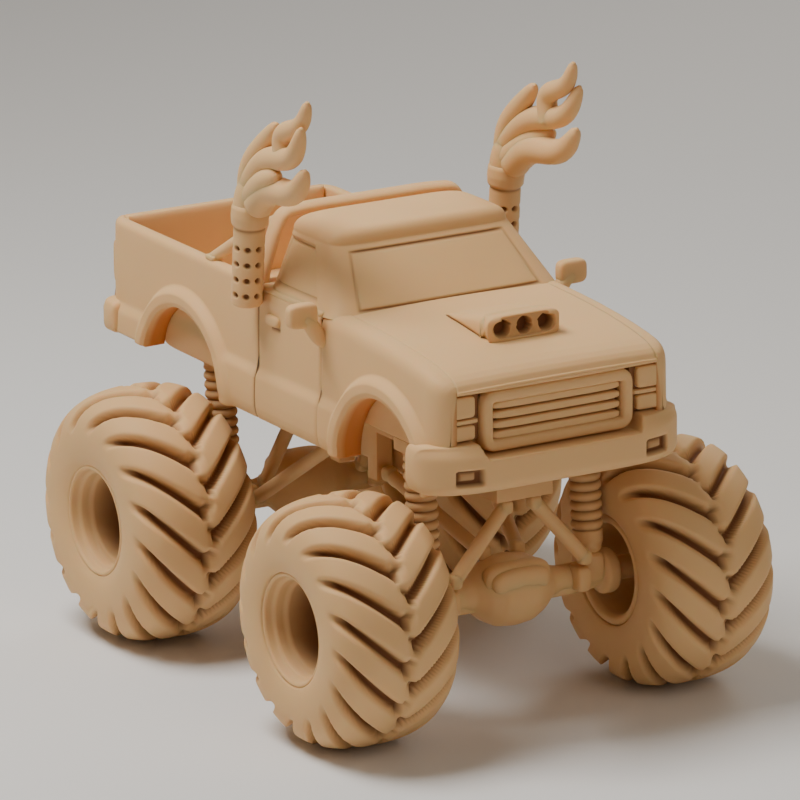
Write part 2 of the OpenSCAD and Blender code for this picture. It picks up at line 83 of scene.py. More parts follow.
def signed_power(value, power):
    """sign(v) |v|^p."""
    return np.sign(value) * np.abs(value) ** power


def grid_faces(rows, cols, wrap_rows=False, wrap_cols=False):
    """Corner numbers of the quads between neighbouring rows and columns of points."""
    i = np.arange(rows if wrap_rows else rows - 1)[:, None]
    j = np.arange(cols if wrap_cols else cols - 1)[None, :]
    k, m = (i + 1) % rows, (j + 1) % cols
    quads = np.broadcast_arrays(i * cols + j, k * cols + j, k * cols + m, i * cols + m)
    return np.stack(quads, -1).reshape(-1, 4)


def outward(points, faces):
    """The faces, turned over if the volume they enclose comes out negative."""
    a, b, c, d = (points[faces[:, k]] for k in range(4))
    volume = (a * np.cross(b, c)).sum() + (a * np.cross(c, d)).sum()
    return faces if volume >= 0 else faces[:, ::-1]


class Shell:
    """Closed surfaces that make up one piece: points, quads and the painted shade and glow of each point."""

    def __init__(self):
        self.parts = []

    def add(self, points, faces, painted_shade_and_glow=None):
        """One closed surface, with its painted shade from 0 in the open to 1 in a groove; values below 0
        paint glow.
        """
        points = np.asarray(points, float).reshape(-1, 3)
        shade = np.zeros(len(points)) if painted_shade_and_glow is None else np.broadcast_to(
            np.asarray(painted_shade_and_glow, float).ravel(), len(points))
        self.parts.append((points, outward(points, faces), shade))
        return self

    def grid(self, points, wrap_rows=False, wrap_cols=True, painted_shade_and_glow=None):
        """A surface through rows of points. A row that meets in one point closes as a pole."""
        rows, cols = points.shape[:2]
        return self.add(points, grid_faces(rows, cols, wrap_rows, wrap_cols), painted_shade_and_glow)

    def build(self, name, material, slot, nodes=(), body=ROOT):
        """Makes the mesh, merges its seams and hangs the piece on its body."""
        sizes = [len(part[0]) for part in self.parts]
        starts = np.concatenate([[0], np.cumsum(sizes)[:-1]])
        points = np.concatenate([part[0] for part in self.parts]) * MM
        faces = np.concatenate([part[1] + start for part, start in zip(self.parts, starts)])
        mesh = bpy.data.meshes.new(name)
        mesh.from_pydata(points.tolist(), [], faces.tolist())
        shade = np.concatenate([part[2] for part in self.parts]).astype(np.float32)
        # painted shade (above 0) and painted glow (below 0) of each point, for the resin material
        mesh.attributes.new("painted_shade_and_glow", "FLOAT", "POINT").data.foreach_set("value", shade)
        work = bmesh.new()
        work.from_mesh(mesh)
        bmesh.ops.remove_doubles(work, verts=work.verts, dist=2e-7)
        work.to_mesh(mesh)
        work.free()
        mesh.shade_smooth()
        mesh.materials.append(material)
        obj = bpy.data.objects.new(name, mesh)
        bpy.context.scene.collection.objects.link(obj)
        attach(obj, body)
        if nodes:
            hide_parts(*nodes)
        return obj


def softened(corners, radius, steps=6):
    """A polyline whose inner corners are cut by curves (1-t)^2 a + 2 t (1-t) c + t^2 b that
    start and end radius away from the corner c."""
    corners = np.asarray(corners, float)
    parts = [corners[:1]]
    t = np.linspace(0, 1, steps)[:, None]
    for before, here, after in zip(corners[:-2], corners[1:-1], corners[2:]):
        back, forth = before - here, after - here
        reach = min(radius, 0.45 * np.linalg.norm(back), 0.45 * np.linalg.norm(forth))
        a = here + back / np.linalg.norm(back) * reach
        b = here + forth / np.linalg.norm(forth) * reach
        parts.append((1 - t) ** 2 * a + 2 * t * (1 - t) * here + t ** 2 * b)
    parts.append(corners[-1:])
    return np.concatenate(parts)


def revolved(shell, profile, centre, side, steps, painted_shade_and_glow=None):
    """Turns (radius r, distance o outwards) about the truck's Y direction:
    (x + r sin a, y + side o, z + r cos a)."""
    angle = np.linspace(0, TAU, steps, endpoint=False)[None, :]
    radius, out = profile[:, :1], profile[:, 1:2]
    shade = None if painted_shade_and_glow is None else np.repeat(np.asarray(painted_shade_and_glow)[:, None], steps, 1)
    shell.grid(np.stack(np.broadcast_arrays(
        centre[0] + radius * np.sin(angle), centre[1] + side * out, centre[2] + radius * np.cos(angle)),
        -1), painted_shade_and_glow=shade)


def cube_grid(steps):
    """Directions on a cube's six faces, closer together towards its edges, and their quads."""
    t = np.sin(np.linspace(-1, 1, steps) * np.pi / 2)
    s, u = np.meshgrid(t, t, indexing="ij")
    one = np.ones_like(s)
    sheets = [(one, s, u), (-one, u, s), (u, one, s), (s, -one, u), (s, u, one), (u, s, -one)]
    points = np.concatenate([np.stack(p, -1).reshape(-1, 3) for p in sheets])
    faces = np.concatenate([grid_faces(steps, steps) + k * steps * steps for k in range(6)])
    return points, faces


CUBES = {n: cube_grid(n) for n in (9, 13, 21)}


def block(shell, low, high, power=7.0, steps=13, bend=None, painted_shade_and_glow=None):
    """A block with rounded edges between two corners: directions d on a cube become
    h d / (|dx|^p + |dy|^p + |dz|^p)^(1/p). bend(unit, points) may shape it further."""
    low, high = np.minimum(low, high), np.maximum(low, high)
    directions, faces = CUBES[steps]
    unit = directions / (np.abs(directions) ** power).sum(-1, keepdims=True) ** (1 / power)
    points = unit * (high - low) / 2
    if bend is not None:
        points = bend(unit, points)
    shell.add(points + (low + high) / 2, faces, None if painted_shade_and_glow is None else painted_shade_and_glow(unit))


def full_painted_shade(unit):
    """Full painted shade over a whole block that stands where there is only shade."""
    return np.ones(len(unit))


def curve(points, count):
    """A Catmull-Rom curve through the points."""
    p = np.asarray(points, float)
    padded = np.concatenate([2 * p[:1] - p[1:2], p, 2 * p[-1:] - p[-2:-1]])
    s = np.linspace(0, len(p) - 1, count)
    k = np.minimum(s.astype(int), len(p) - 2)
    t = (s - k)[:, None]
    a, b, c, d = (padded[k + n] for n in range(4))
    return 0.5 * (2 * b + (c - a) * t + (2 * a - 5 * b + 4 * c - d) * t ** 2
                  + (3 * b - a - 3 * c + d) * t ** 3)


def tube(shell, path, radius, sides=20, flat=1.0, painted_shade_and_glow=0.0):
    """A round profile along a path, with the radius given per point. The ends close over half
    a turn of smaller rings."""
    path = np.asarray(path, float)
    radius = np.broadcast_to(np.asarray(radius, float), (len(path),))
    t = np.linspace(np.pi / 2, 0.15, 5)
    first, last = path[0] - path[1], path[-1] - path[-2]
    first, last = first / np.linalg.norm(first), last / np.linalg.norm(last)
    lead = path[0] + np.outer(radius[0] * np.sin(t) * 0.7, first)
    tail = path[-1] + np.outer(radius[-1] * np.sin(t[::-1]) * 0.7, last)
    path = np.concatenate([lead, path, tail])
    radius = np.concatenate([radius[0] * np.cos(t), radius, radius[-1] * np.cos(t[::-1])])
    radius[[0, -1]] = 0.0
    along = np.gradient(path, axis=0)
    along /= np.maximum(np.linalg.norm(along, axis=1, keepdims=True), 1e-9)
    spare = np.eye(3)[np.argmin(np.abs(along).max(axis=0))]
    side = np.cross(along, spare)
    side /= np.linalg.norm(side, axis=1, keepdims=True)
    up = np.cross(side, along)
    angle = np.linspace(0, TAU, sides, endpoint=False)[None, :, None]
    ring = np.cos(angle) * side[:, None, :] + flat * np.sin(angle) * up[:, None, :]
    shell.grid(path[:, None, :] + radius[:, None, None] * ring, painted_shade_and_glow=painted_shade_and_glow)


# ---------- resin ----------

class Value:
    """A shader value that builds its Math nodes from Python operators."""

    def __init__(self, maker, socket):
        self.maker, self.socket = maker, socket

    def math(self, operation, first, second):
        return self.maker.node("ShaderNodeMath", {"operation": operation}, {0: first, 1: second})

    def __add__(self, other):
        return self.math("ADD", self, other)

    def __sub__(self, other):
        return self.math("SUBTRACT", self, other)

    def __rsub__(self, other):
        return self.math("SUBTRACT", other, self)

    def __mul__(self, other):
        return self.math("MULTIPLY", self, other)

    __radd__ = __add__
    __rmul__ = __mul__


class Maker:
    """The nodes of one material, each made from its type, its settings and its sockets."""

    def __init__(self, name):
        self.material = bpy.data.materials.new(name)
        self.material.use_nodes = True
        self.tree = self.material.node_tree
        self.tree.nodes.clear()

    def node(self, kind, settings=None, sockets=None, output=0):
        node = self.tree.nodes.new(kind)
        for key, value in (settings or {}).items():
            setattr(node, key, value)
        for key, value in (sockets or {}).items():
            if isinstance(value, Value):
                self.tree.links.new(value.socket, node.inputs[key])
            else:
                node.inputs[key].default_value = value
        return Value(self, node.outputs[output]) if node.outputs else None

    def blend(self, factor, first, second):
        return self.node("ShaderNodeMix", {"data_type": "RGBA"}, {0: factor, 6: first, 7: second}, 2)


def resin(name, look, shade):
    """Cast resin: warm tan, faintly cloudy, with painted shade that turns it deep and red in its hollows,
    painted glow on thin walls, a fine tooth in the surface and light that wanders a little way below it."""
    m = Maker(name)
    place = m.node("ShaderNodeTexCoord", output=3)
    painted_shade_and_glow_value = m.node("ShaderNodeAttribute", {"attribute_name": "painted_shade_and_glow"}, output=2)
    cloud = m.node("ShaderNodeTexNoise", {}, {"Vector": place, "Scale": 45.0, "Detail": 3.0})
    tooth = m.node("ShaderNodeTexNoise", {}, {"Vector": place, "Scale": 1400.0, "Detail": 2.0})
    base = np.array(look.resin_colour) * shade
    plain = m.blend(cloud, (*base * 0.97, 1.0), (*base * 1.03, 1.0))
    # painted glow: points with a value below 0 take the glow colour, as if light came through a thin wall
    thin = m.blend(0.0 - painted_shade_and_glow_value, plain, (*look.painted_glow_colour, 1.0))
    # painted shade: points with a value above 0 darken towards the shade colour in grooves and hollows
    toned = m.blend(painted_shade_and_glow_value * 0.9, thin, (*look.painted_shade_colour, 1.0))
    bump = m.node("ShaderNodeBump", {}, {"Strength": look.tooth, "Distance": 0.0001, "Height": tooth})
    shader = m.node("ShaderNodeBsdfPrincipled", {"subsurface_method": "RANDOM_WALK"}, {
        "Base Color": toned, "Roughness": 0.5 + 0.14 * cloud, "Normal": bump, "IOR": 1.47,
        "Subsurface Weight": look.glow, "Subsurface Scale": look.glow_depth,
        "Subsurface Radius": (1.0, 0.4, 0.18), "Specular IOR Level": 0.2})
    m.node("ShaderNodeOutputMaterial", {}, {"Surface": shader})
    return m.material


def material_of(slot):
    """The resin of a material slot, made once."""
    name = slot.replace("_", " ")
    if name in bpy.data.materials:
        return bpy.data.materials[name]
    look = bpy.context.scene.truck_look
    # painted shade: running gear and tyres take slightly darker copies of the same resin colour
    shade = {"resin_body": 1.0, "resin_pane": 1.0, "resin_running_gear": 0.93, "resin_tyre": 0.95}
    return resin(name, look, shade[slot])


# ---------- wheels ----------

def wheel_place(end, side_name):
    """Middle of a wheel, the tyre's radius and half its width."""
    low, high = node_box(f"tyre_{end}_{side_name}")
    return (low + high) / 2, (high[2] - low[2]) / 2, (high[1] - low[1]) / 2


def tyre_shell(centre, radius, half, wheel):
    """Balloon tyre. Its section is |y / half|^n + |(r - rc) / hr|^n = 1 down to the bead. Bars
    from both sides meet at the middle, half a pitch apart and swept back by an angle that grows
    with the distance v from the middle; between them the surface sinks by the lug height."""
    bead = wheel.bead_radius / MM
    mid = 0.63 * radius
    high = radius - mid
    power = 2 / wheel.section_power
    edge = np.arccos(-((mid - bead) / high) ** (1 / power))
    phi = np.linspace(-edge, edge, 99)
    r = mid + high * signed_power(np.cos(phi), power)
    y = half * signed_power(np.sin(phi), power)
    v = np.concatenate([[0], np.cumsum(np.hypot(np.diff(r), np.diff(y)))])
    v -= v[len(v) // 2]
    slope_r = signed_power(np.cos(phi), 2 - power) / high
    slope_y = signed_power(np.sin(phi), 2 - power) / half
    length = np.hypot(slope_r, slope_y)
    theta = np.linspace(0, TAU, wheel.lugs * 21, endpoint=False)[:, None]
    pitch = TAU * radius / wheel.lugs
    skew = np.cos(np.arctan(wheel.sweep * radius / half))
    bar = 0.5 * wheel.lug_share * pitch * skew
    lug = 0.0
    for side, stagger in ((-1.0, 0.0), (1.0, 0.5)):
        along = side * v[None, :]
        turns = (theta + wheel.sweep * along / half) * wheel.lugs / TAU + stagger
        across = np.abs(turns - np.round(turns)) * pitch * skew
        reach = np.hypot(across, np.maximum(0.0, 0.85 * bar - along))
        lug = np.maximum(lug, 1.0 - smoothstep(0.74 * bar, 1.2 * bar, reach))
    fade = 1.0 - smoothstep(1.08, 1.5, np.abs(phi))[None, :]
    sink = wheel.lug_height / MM * fade * (1.0 - lug)
    r = r[None, :] - sink * (slope_r / length)[None, :]
    y = y[None, :] - sink * (slope_y / length)[None, :]
    inside = np.linspace(0.8, -0.8, 5)[None, :] * half + 0 * theta
    r = np.concatenate([r, np.full_like(inside, bead + 0.03)], 1)
    y = np.concatenate([y, inside], 1)
    # painted shade in the grooves between the lugs
    painted_shade_and_glow_value = np.concatenate([smoothstep(0.35, 1.0, 1 - lug) * fade, 0 * inside], 1)
    points = np.stack([centre[0] + r * np.sin(theta), centre[1] + y, centre[2] + r * np.cos(theta)], -1)
    return Shell().grid(points, wrap_rows=True, wrap_cols=True, painted_shade_and_glow=painted_shade_and_glow_value)


def rim_shell(centre, side, half, wheel):
    """Deep rim: turned profile from the hub cap over the disc and the stepped barrel to the lip,
    back along the inside to the bore of the spindle; bolts stand on the disc."""
    bead = wheel.bead_radius / MM
    lip, face, back = half - 1.2, 0.65, -3.35
    corners = [(0, face + 2.4), (3.7, face + 2.4), (4.6, face + 1.6), (5.0, face), (11.3, face),
               (11.7, face + 1.6), (12.1, lip - 6.2), (13.2, lip - 5.4), (13.5, lip - 3.0),
               (14.4, lip - 2.3), (14.7, lip - 0.5), (15.3, lip), (bead, lip - 0.3), (bead, 1 - lip),
               (15.4, -lip), (13.8, -lip), (12.9, 1.6 - lip), (12.8, back - 2.0), (12.2, back),
               (2.3, back), (2.3, 2.05), (0, 2.05)]
    profile = softened(corners, 0.7, 4)
    shell = Shell()
    # painted shade inside the rim's dish, strongest towards the disc
    deep = smoothstep(lip - 2.5, face + 4.5, profile[:, 1]) * (profile[:, 1] > 0.3) * (profile[:, 0] < 15.8)
    revolved(shell, profile, centre, side, 96, painted_shade_and_glow=0.97 * deep)
    dome = np.linspace(0, np.pi / 2, 7)[:, None]
    bolt = np.concatenate([[[0.0, 0.0]], np.hstack([1.15 * np.sin(dome), 1.1 * np.cos(dome)])[::-1]])
    around = np.linspace(0, TAU, wheel.bolts, endpoint=False)
    for angle in around:
        spot = centre + np.array([8.1 * np.sin(angle), side * face, 8.1 * np.cos(angle)])
        # painted shade on the bolt heads down in the dish
        revolved(shell, bolt, spot, side, 16, painted_shade_and_glow=np.full(len(bolt), 0.6))
    return shell


class TruckWheels(bpy.types.PropertyGroup):
    """Sizes of the tyres and rims."""
    lugs: bpy.props.IntProperty(name="Lugs", description="Bars round each half of a tyre", default=16)
    lug_height: bpy.props.FloatProperty(
        name="Lug height", description="Depth of the grooves between the bars", default=0.0036,
        subtype="DISTANCE", unit="LENGTH")
    lug_share: bpy.props.FloatProperty(
        name="Lug share", description="Part of the pitch that a bar takes", default=0.77)
    sweep: bpy.props.FloatProperty(
        name="Sweep", description="Angle by which a bar lags at the shoulder", default=0.5,
        subtype="ANGLE", unit="ROTATION")
    section_power: bpy.props.FloatProperty(
        name="Section power", description="Squareness of the tyre's section", default=2.6)
    bead_radius: bpy.props.FloatProperty(
        name="Bead radius", description="Radius where the tyre sits on the rim", default=0.016,
        subtype="DISTANCE", unit="LENGTH")
    bolts: bpy.props.IntProperty(name="Bolts", description="Bolts on a wheel disc", default=8)


class TRUCK_OT_wheels(bpy.types.Operator):
    """Adds the four tyres and their rims"""
    bl_idname = "truck.wheels"
    bl_label = "Add wheels"

    def execute(self, context):
        wheel = context.scene.truck_wheels
        for end in ENDS:
            for name, side in SIDES:
                centre, radius, half = wheel_place(end, name)
                body = f"wheel_{end}_{name}"
                tyre_shell(centre, radius, half, wheel).build(
                    f"lugged_tyre_{end}_{name}", material_of("resin_tyre"), "resin_tyre",
                    [f"tyre_{end}_{name}"], body)
                rim_shell(centre, side, half, wheel).build(
                    f"dished_rim_{end}_{name}", material_of("resin_running_gear"), "resin_running_gear",
                    [f"rim_{end}_{name}"], body)
        return {"FINISHED"}


# ---------- body ----------

def bezier(a, c, b, steps):
    """(1-t)^2 a + 2 t (1-t) c + t^2 b, for arrays of places, with t along a new last axis."""
    t = np.linspace(0, 1, steps)
    a, b, c = (np.asarray(v, float)[..., None] for v in (a, b, c))
    return (1 - t) ** 2 * a + 2 * t * (1 - t) * c + t ** 2 * b


def straight(a, b, steps):
    """a + t (b - a), with t along a new last axis."""
    t = np.linspace(0, 1, steps)
    a, b = np.asarray(a, float)[..., None], np.asarray(b, float)[..., None]
    return a + t * (b - a)


class Body:
    """The shape that all panels share: the flank's distance from the middle plane, the top of
    the nose and the lower edge along the truck."""
    ROUND_X, ROUND_Y = 7.0, 4.8
    TAIL_RAISE, NOSE_RAISE = 6.0, 3.5

    def __init__(self, sizes):
        self.sizes = sizes
        self.arches = [float(x) / MM for x in (sizes.front_arch_x, sizes.rear_arch_x)]
        self.arch_r = sizes.arch_radius / MM
        self.arch_z = sizes.arch_height / MM
        self.sill = node_box("door_right")[0][2]
        self.rail = node_box("bed")[1][2]
        self.nose = node_box("grille_surround")[1][0] - 1.1

    def flank(self, x, z):
        """Distance of the flank from the middle: section(z) + flare (1 - s(r + 3.6, r + 6.4, d))
        with d the distance from an arch's centre, less the rounded corners of nose and tail."""
        section = np.interp(z, [70, 72.5, 74, 76, 79, 82, 84.6, 85.4, 87.4, 88.2, 100, 112],
                            [37.0, 38.0, 38.8, 39.2, 39.3, 39.2, 39.05, 38.85, 37.8, 37.65, 37.5, 37.1])
        for centre in self.arches:
            d = np.hypot(x - centre, np.maximum(z - self.arch_z, 0.0))
            raised = 1.0 - smoothstep(self.arch_r + 3.8, self.arch_r + 6.6, d)
            target = np.maximum(section, 38.9 + 0.0 * d)
            section = section + raised * (target + 1.35 - section)
            section = section - 0.7 * (1.0 - smoothstep(0.0, 1.8, d - self.arch_r))
        front = np.clip((x - self.nose + self.ROUND_X) / (self.ROUND_X + 0.1), 0.0, 1.0)
        rear = np.clip((-89.5 - x) / 6.1, 0.0, 1.0)
        return (section - self.ROUND_Y * (1.0 - np.sqrt(1.0 - front ** 2))
                - 3.2 * (1.0 - np.sqrt(1.0 - rear ** 2)))

    def corner_x(self, y):
        """The nose's face in plan: an ellipse of half sizes ROUND_X and ROUND_Y at its corners."""
        t = np.clip((y - (37.7 - self.ROUND_Y)) / self.ROUND_Y, 0.0, 1.0)
        return self.nose - self.ROUND_X * (1.0 - np.sqrt(1.0 - t ** 2))

    def top(self, x, y):
        """Height of bonnet and wings: a falling profile(x) plus a crown 1 - (y / 38)^2."""
        fall = np.interp(x, [27, 36, 46, 56, 66, 74, 80, 84, 87, 89, 90.2, 91],
                         [111.2, 111.0, 110.7, 110.2, 109.4, 108.5, 107.6, 106.8, 105.9, 104.9, 103.9, 102.4])
        return fall + 1.0 * (1.0 - (y / 38.0) ** 2)

    def bottom(self, x):
        """Lower edge: the sill, or the circle of an arch over it."""
        edge = (self.sill + self.TAIL_RAISE * smoothstep(68.0, 72.0, -x)
                + self.NOSE_RAISE * smoothstep(83.5, 86.0, x))
        for centre in self.arches:
            rise = np.sqrt(np.maximum(self.arch_r ** 2 - (x - centre) ** 2, 0.0))
            edge = np.maximum(edge, self.arch_z + rise)
        return edge

    def columns(self, low, high, spacing=0.6):
        """Places along the truck, closer together where an arch's edge is steep."""
        x = [np.linspace(low, high, int((high - low) / spacing) + 2)]
        for centre in self.arches:
            if low < centre < high:
                x[0] = x[0][np.abs(x[0] - centre) > self.arch_r + 0.2]
                x.append(centre - self.arch_r * np.cos(np.linspace(0, np.pi, 85)))
        return np.sort(np.concatenate(x))


def capped(rows):
    """Rows of a closed profile with one more at each end that meets in its middle."""
    first, last = rows[:1].mean(1, keepdims=True), rows[-1:].mean(1, keepdims=True)
    return np.concatenate([np.repeat(first, rows.shape[1], 1), rows,
                           np.repeat(last, rows.shape[1], 1)])


def panel(shell, body, x, upper, inner, side, painted_shade_and_glow=None, drop=0.0):
    """A slab of flank. upper holds the (y, z) of the top edge from the inside outwards, as two
    arrays; below it come the flank, a rounded lower lip, the underside and the inner face."""
    top_y, top_z = upper
    low = body.bottom(x)
    z_flank = straight(top_z[:, -1], low + 0.9, 72)[:, 1:]
    column = np.repeat(x[:, None], z_flank.shape[1], 1)
    y_flank = body.flank(column, z_flank) - drop
    y_last = y_flank[:, -1]
    lip_y, lip_z = bezier(y_last, y_last - 0.1, y_last - 1.2, 6)[:, 1:], bezier(low + 0.9, low, low, 6)[:, 1:]
    in_y, in_z = straight(lip_y[:, -1], inner + 0 * x, 5)[:, 1:], straight(low, low + 0.1, 5)[:, 1:]
    up_y = straight(inner + 0 * x, top_y[:, 0], 8)[:, 1:-1]
    up_z = straight(low + 0.1, top_z[:, 0], 8)[:, 1:-1]
    y = np.concatenate([top_y, y_flank, lip_y, in_y, up_y], 1)
    z = np.concatenate([top_z, z_flank, lip_z, in_z, up_z], 1)
    rows = np.stack([np.repeat(x[:, None], y.shape[1], 1), side * y, z], -1)
    shade = np.zeros_like(y)
    if painted_shade_and_glow is not None:
        shade = painted_shade_and_glow(rows)
    # painted glow: the inner face and the underside take the glow colour of light coming through thin walls
    shade[:, -(up_y.shape[1] + 4):] = -0.8
    shade = np.concatenate([shade[:1], shade, shade[-1:]])
    shell.grid(capped(rows), painted_shade_and_glow=shade)


def wing_shell(body, side):
    """Wing: from its seam with the bonnet over a rounded shoulder down to the arch's lip."""
    x = body.columns(27.85, 83.9)
    x = np.concatenate([x[x < 83.8], 83.85 + (body.nose - 83.85) * np.sin(np.linspace(0, np.pi / 2, 20))])
    seam = np.minimum(31.75, body.flank(x, 100.0 + 0 * x) - 1.0)
    corner_z = body.top(x, 38.0)
    shoulder = np.minimum(4.2, (body.flank(x, corner_z) - seam) * 0.8)
    top_y = straight(seam, body.flank(x, corner_z) - shoulder, 8)
    top_z = body.top(np.repeat(x[:, None], 8, 1), top_y)
    y1, z1 = top_y[:, -1], top_z[:, -1]
    y2 = body.flank(x, corner_z)
    y3, z3 = body.flank(x, corner_z - 4.2), corner_z - 4.2
    corner_y = bezier(y1, y2, y3, 12)[:, 1:]
    corner_h = bezier(z1, corner_z + 0.05, z3, 12)[:, 1:]
    shell = Shell()
    panel(shell, body, x, (np.concatenate([top_y, corner_y], 1), np.concatenate([top_z, corner_h], 1)),
          31.95, side)
    return shell


def bonnet_shell(body):
    """Bonnet: one closed profile along the truck, from the cowl over the crowned top and down
    round the nose, repeated across the truck."""
    x = np.concatenate([np.linspace(35.2, 84, 80), 84 + (body.nose + 0.5 - 84) * np.sin(
        np.linspace(0, np.pi / 2, 26)[1:])])
    y = np.linspace(-31.7, 31.7, 90)[:, None]
    top = body.top(x[None, :], y)
    bow = 0.9 * (1 - (y / 32.0) ** 2) * smoothstep(70, 90, x)[None, :]
    front_x = np.array([body.nose + 0.5, body.nose + 0.35, body.nose - 0.6, 86.0, 60.0, 36.0])
    front_z = np.array([102.3, 101.8, 101.6, 101.7, 104.0, 106.5])
    rows = np.stack([
        np.concatenate([x[None, :] + bow, np.repeat(front_x[None, :], 90, 0) + bow[:, -1:] * (
            front_x > 85)], 1),
        np.repeat(y, len(x) + 6, 1),
        np.concatenate([top, np.repeat(front_z[None, :], 90, 0)], 1)], -1)
    return Shell().grid(capped(rows))


THROATS = (-7.0, 0.0, 7.0)
THROAT_RADIUS = 2.1
CAPSULE_RADIUS = 2.7
SCOOP_DROP = 2.0


def scoop_shell(body):
    """Scoop: a wedge whose rounded section grows towards its front, a groove along its foot, and a
    capsule pressed into its face where three round throats go in."""
    low, high = node_box("bonnet_scoop")
    half, top, tall = high[1], high[2] - SCOOP_DROP, 4.0
    shell = Shell()
    x = np.linspace(low[0], high[0] - 4.8, 44)
    unit = square_ring(34, 5.0)
    base = body.top(x, 0 * x)
    share = (x - x[0]) / (x[-1] - x[0])
    rise = 0.2 + share * (top - base[-1] - 0.3)
    y = (half * (0.93 + 0.07 * share))[:, None] * unit[None, :, 0]
    z = base[:, None] - 0.8 + (rise + 0.8)[:, None] * unit[None, :, 1]
    beside = smoothstep(0.9, 0.98, np.abs(unit[:, 0]))
    foot = np.exp(-((z - body.top(x[:, None], y) - 0.2) / 0.42) ** 2) * beside
    y = y - np.sign(y) * 0.45 * foot
    rows = np.stack([np.repeat(x[:, None], unit.shape[0], 1), y, z], -1)
    # painted shade in the groove along the scoop's foot
    shade = np.concatenate([foot[:1], foot, foot[-1:]])
    shell.grid(capped(rows), painted_shade_and_glow=shade)
    yy, zz = np.meshgrid(np.linspace(-half, half, 141), np.linspace(-tall, tall, 57), indexing="ij")
    edge = np.maximum(np.abs(yy / half), np.abs(zz / tall))
    squeeze = edge / np.maximum((np.abs(yy / half) ** 5 + np.abs(zz / tall) ** 5) ** 0.2, 1e-6)
    up = zz - 0.55
    beyond = np.maximum(np.abs(yy) - THROATS[-1], 0.0)
    capsule = 1 - smoothstep(CAPSULE_RADIUS, CAPSULE_RADIUS + 0.5, np.hypot(beyond, up))
    throats = np.zeros_like(yy)
    for centre in THROATS:
        away = np.hypot(yy - centre, up)
        throats = np.maximum(throats, 1 - smoothstep(THROAT_RADIUS, THROAT_RADIUS + 0.5, away))
    front = high[0] - 1.2 * np.clip(edge, 0, 1) ** 7 - 0.7 * capsule
    face = np.stack([front - 3.2 * throats, yy * squeeze, top - tall + zz * squeeze], -1)
    back = np.stack([0 * front + high[0] - 5.4, yy * squeeze, top - tall + zz * squeeze], -1)
    rows = np.concatenate([face, back[:, ::-1]], 1)
    # painted shade in the throats and round the pressed capsule
    shade = np.concatenate([np.maximum(throats, 0.25 * capsule), 0 * throats], 1)
    shade = np.concatenate([shade[:1], shade, shade[-1:]])
    shell.grid(capped(rows), painted_shade_and_glow=shade)
    return shell


def door_shell(body, side):
    """Door skin: the flank between its two shut lines, each sunk by exp(-(d / w)^2)."""
    high = node_box("door_right")[1]
    x = np.linspace(-7.1, high[0] + 0.15, 80)
    z_top = high[2] + 0 * x
    y_top = body.flank(x, z_top)
    top_y = np.concatenate([straight(33.2 + 0 * x, y_top - 0.5, 5), bezier(
        y_top - 0.5, y_top, y_top, 5)[:, 1:]], 1)
    top_z = np.concatenate([np.repeat(z_top[:, None], 5, 1), bezier(z_top, z_top, z_top - 0.5, 5)[:, 1:]], 1)
    shell = Shell()
    near = np.exp(-((x - x[-1]) / 0.9) ** 2)[:, None]

    def shade(rows):
        # painted shade along the rear shut line and in the slot by the handle
        shut_line = 0.4 * np.exp(-((rows[..., 0] - x[-1]) / 0.5) ** 2)
        slot = np.exp(-((rows[..., 2] - 100.8) / 0.5) ** 2) * (np.abs(rows[..., 0] - 2.6) < 2.6)
        return shut_line + 0.9 * slot

    panel(shell, body, x, (top_y, top_z), 33.0, side, painted_shade_and_glow=shade, drop=0.5 * near)
    block(shell, (-2.6, side * 36.6, 101.3), (4.8, side * 38.75, 104.4), 3.2)
    return shell


def bed_shell(body, side):
    """One side of the bed: flank, rounded rail and inner wall."""
    low, high = node_box("bed")
    x = body.columns(low[0] + 4.5, high[0])
    x = np.concatenate([low[0] + 4.5 - 5.3 * np.sin(np.linspace(np.pi / 2, 0.05, 18)), x])
    z_top = high[2] + 0 * x
    y_out = body.flank(x, z_top)
    inside = np.minimum(33.1, y_out - 3.4)
    flat = straight(inside + 1.2, y_out - 2.0, 6)
    top_y = np.concatenate([bezier(inside, inside, inside + 1.2, 6), flat[:, 1:],
                            bezier(y_out - 2.0, y_out, body.flank(x, z_top - 2.2), 9)[:, 1:]], 1)
    top_z = np.concatenate([bezier(z_top - 1.2, z_top, z_top, 6), np.repeat(z_top[:, None], 5, 1),
                            bezier(z_top, z_top, z_top - 2.2, 9)[:, 1:]], 1)
    shell = Shell()

    def shade(rows):
        # painted shade along the front edge, in the gap between the bed and the cab
        return 0.8 * np.exp(-((rows[..., 0] - x[-1]) / 0.4) ** 2)

    drop = 0.35 * np.exp(-((x - x[-1]) / 0.6) ** 2)[:, None]
    panel(shell, body, x, (top_y, top_z), inside - 0.1, side, painted_shade_and_glow=shade, drop=drop)
    return shell


def square_ring(steps, power):
    """Unit outline |x|^p + |y|^p = 1, evenly spread along its sides."""
    t = np.linspace(-1, 1, steps, endpoint=False)
    one = np.ones_like(t)
    d = np.concatenate([np.stack([one, t], -1), np.stack([-t, one], -1), np.stack([-one, -t], -1),
                        np.stack([t, -one], -1)])
    return d / (np.abs(d) ** power).sum(-1, keepdims=True) ** (1 / power)


def quad_distance(u, v, corners):
    """Signed distance from a convex outline of corners (u, v) in turning order: the greatest of
    the distances outside its sides."""
    corners = np.asarray(corners, float)
    after = np.roll(corners, -1, axis=0)
    along = after - corners
    along /= np.linalg.norm(along, axis=1, keepdims=True)
    out = np.stack([along[:, 1], -along[:, 0]], -1)
    return ((u[..., None] - corners[:, 0]) * out[:, 0] + (v[..., None] - corners[:, 1]) * out[:, 1]).max(-1)


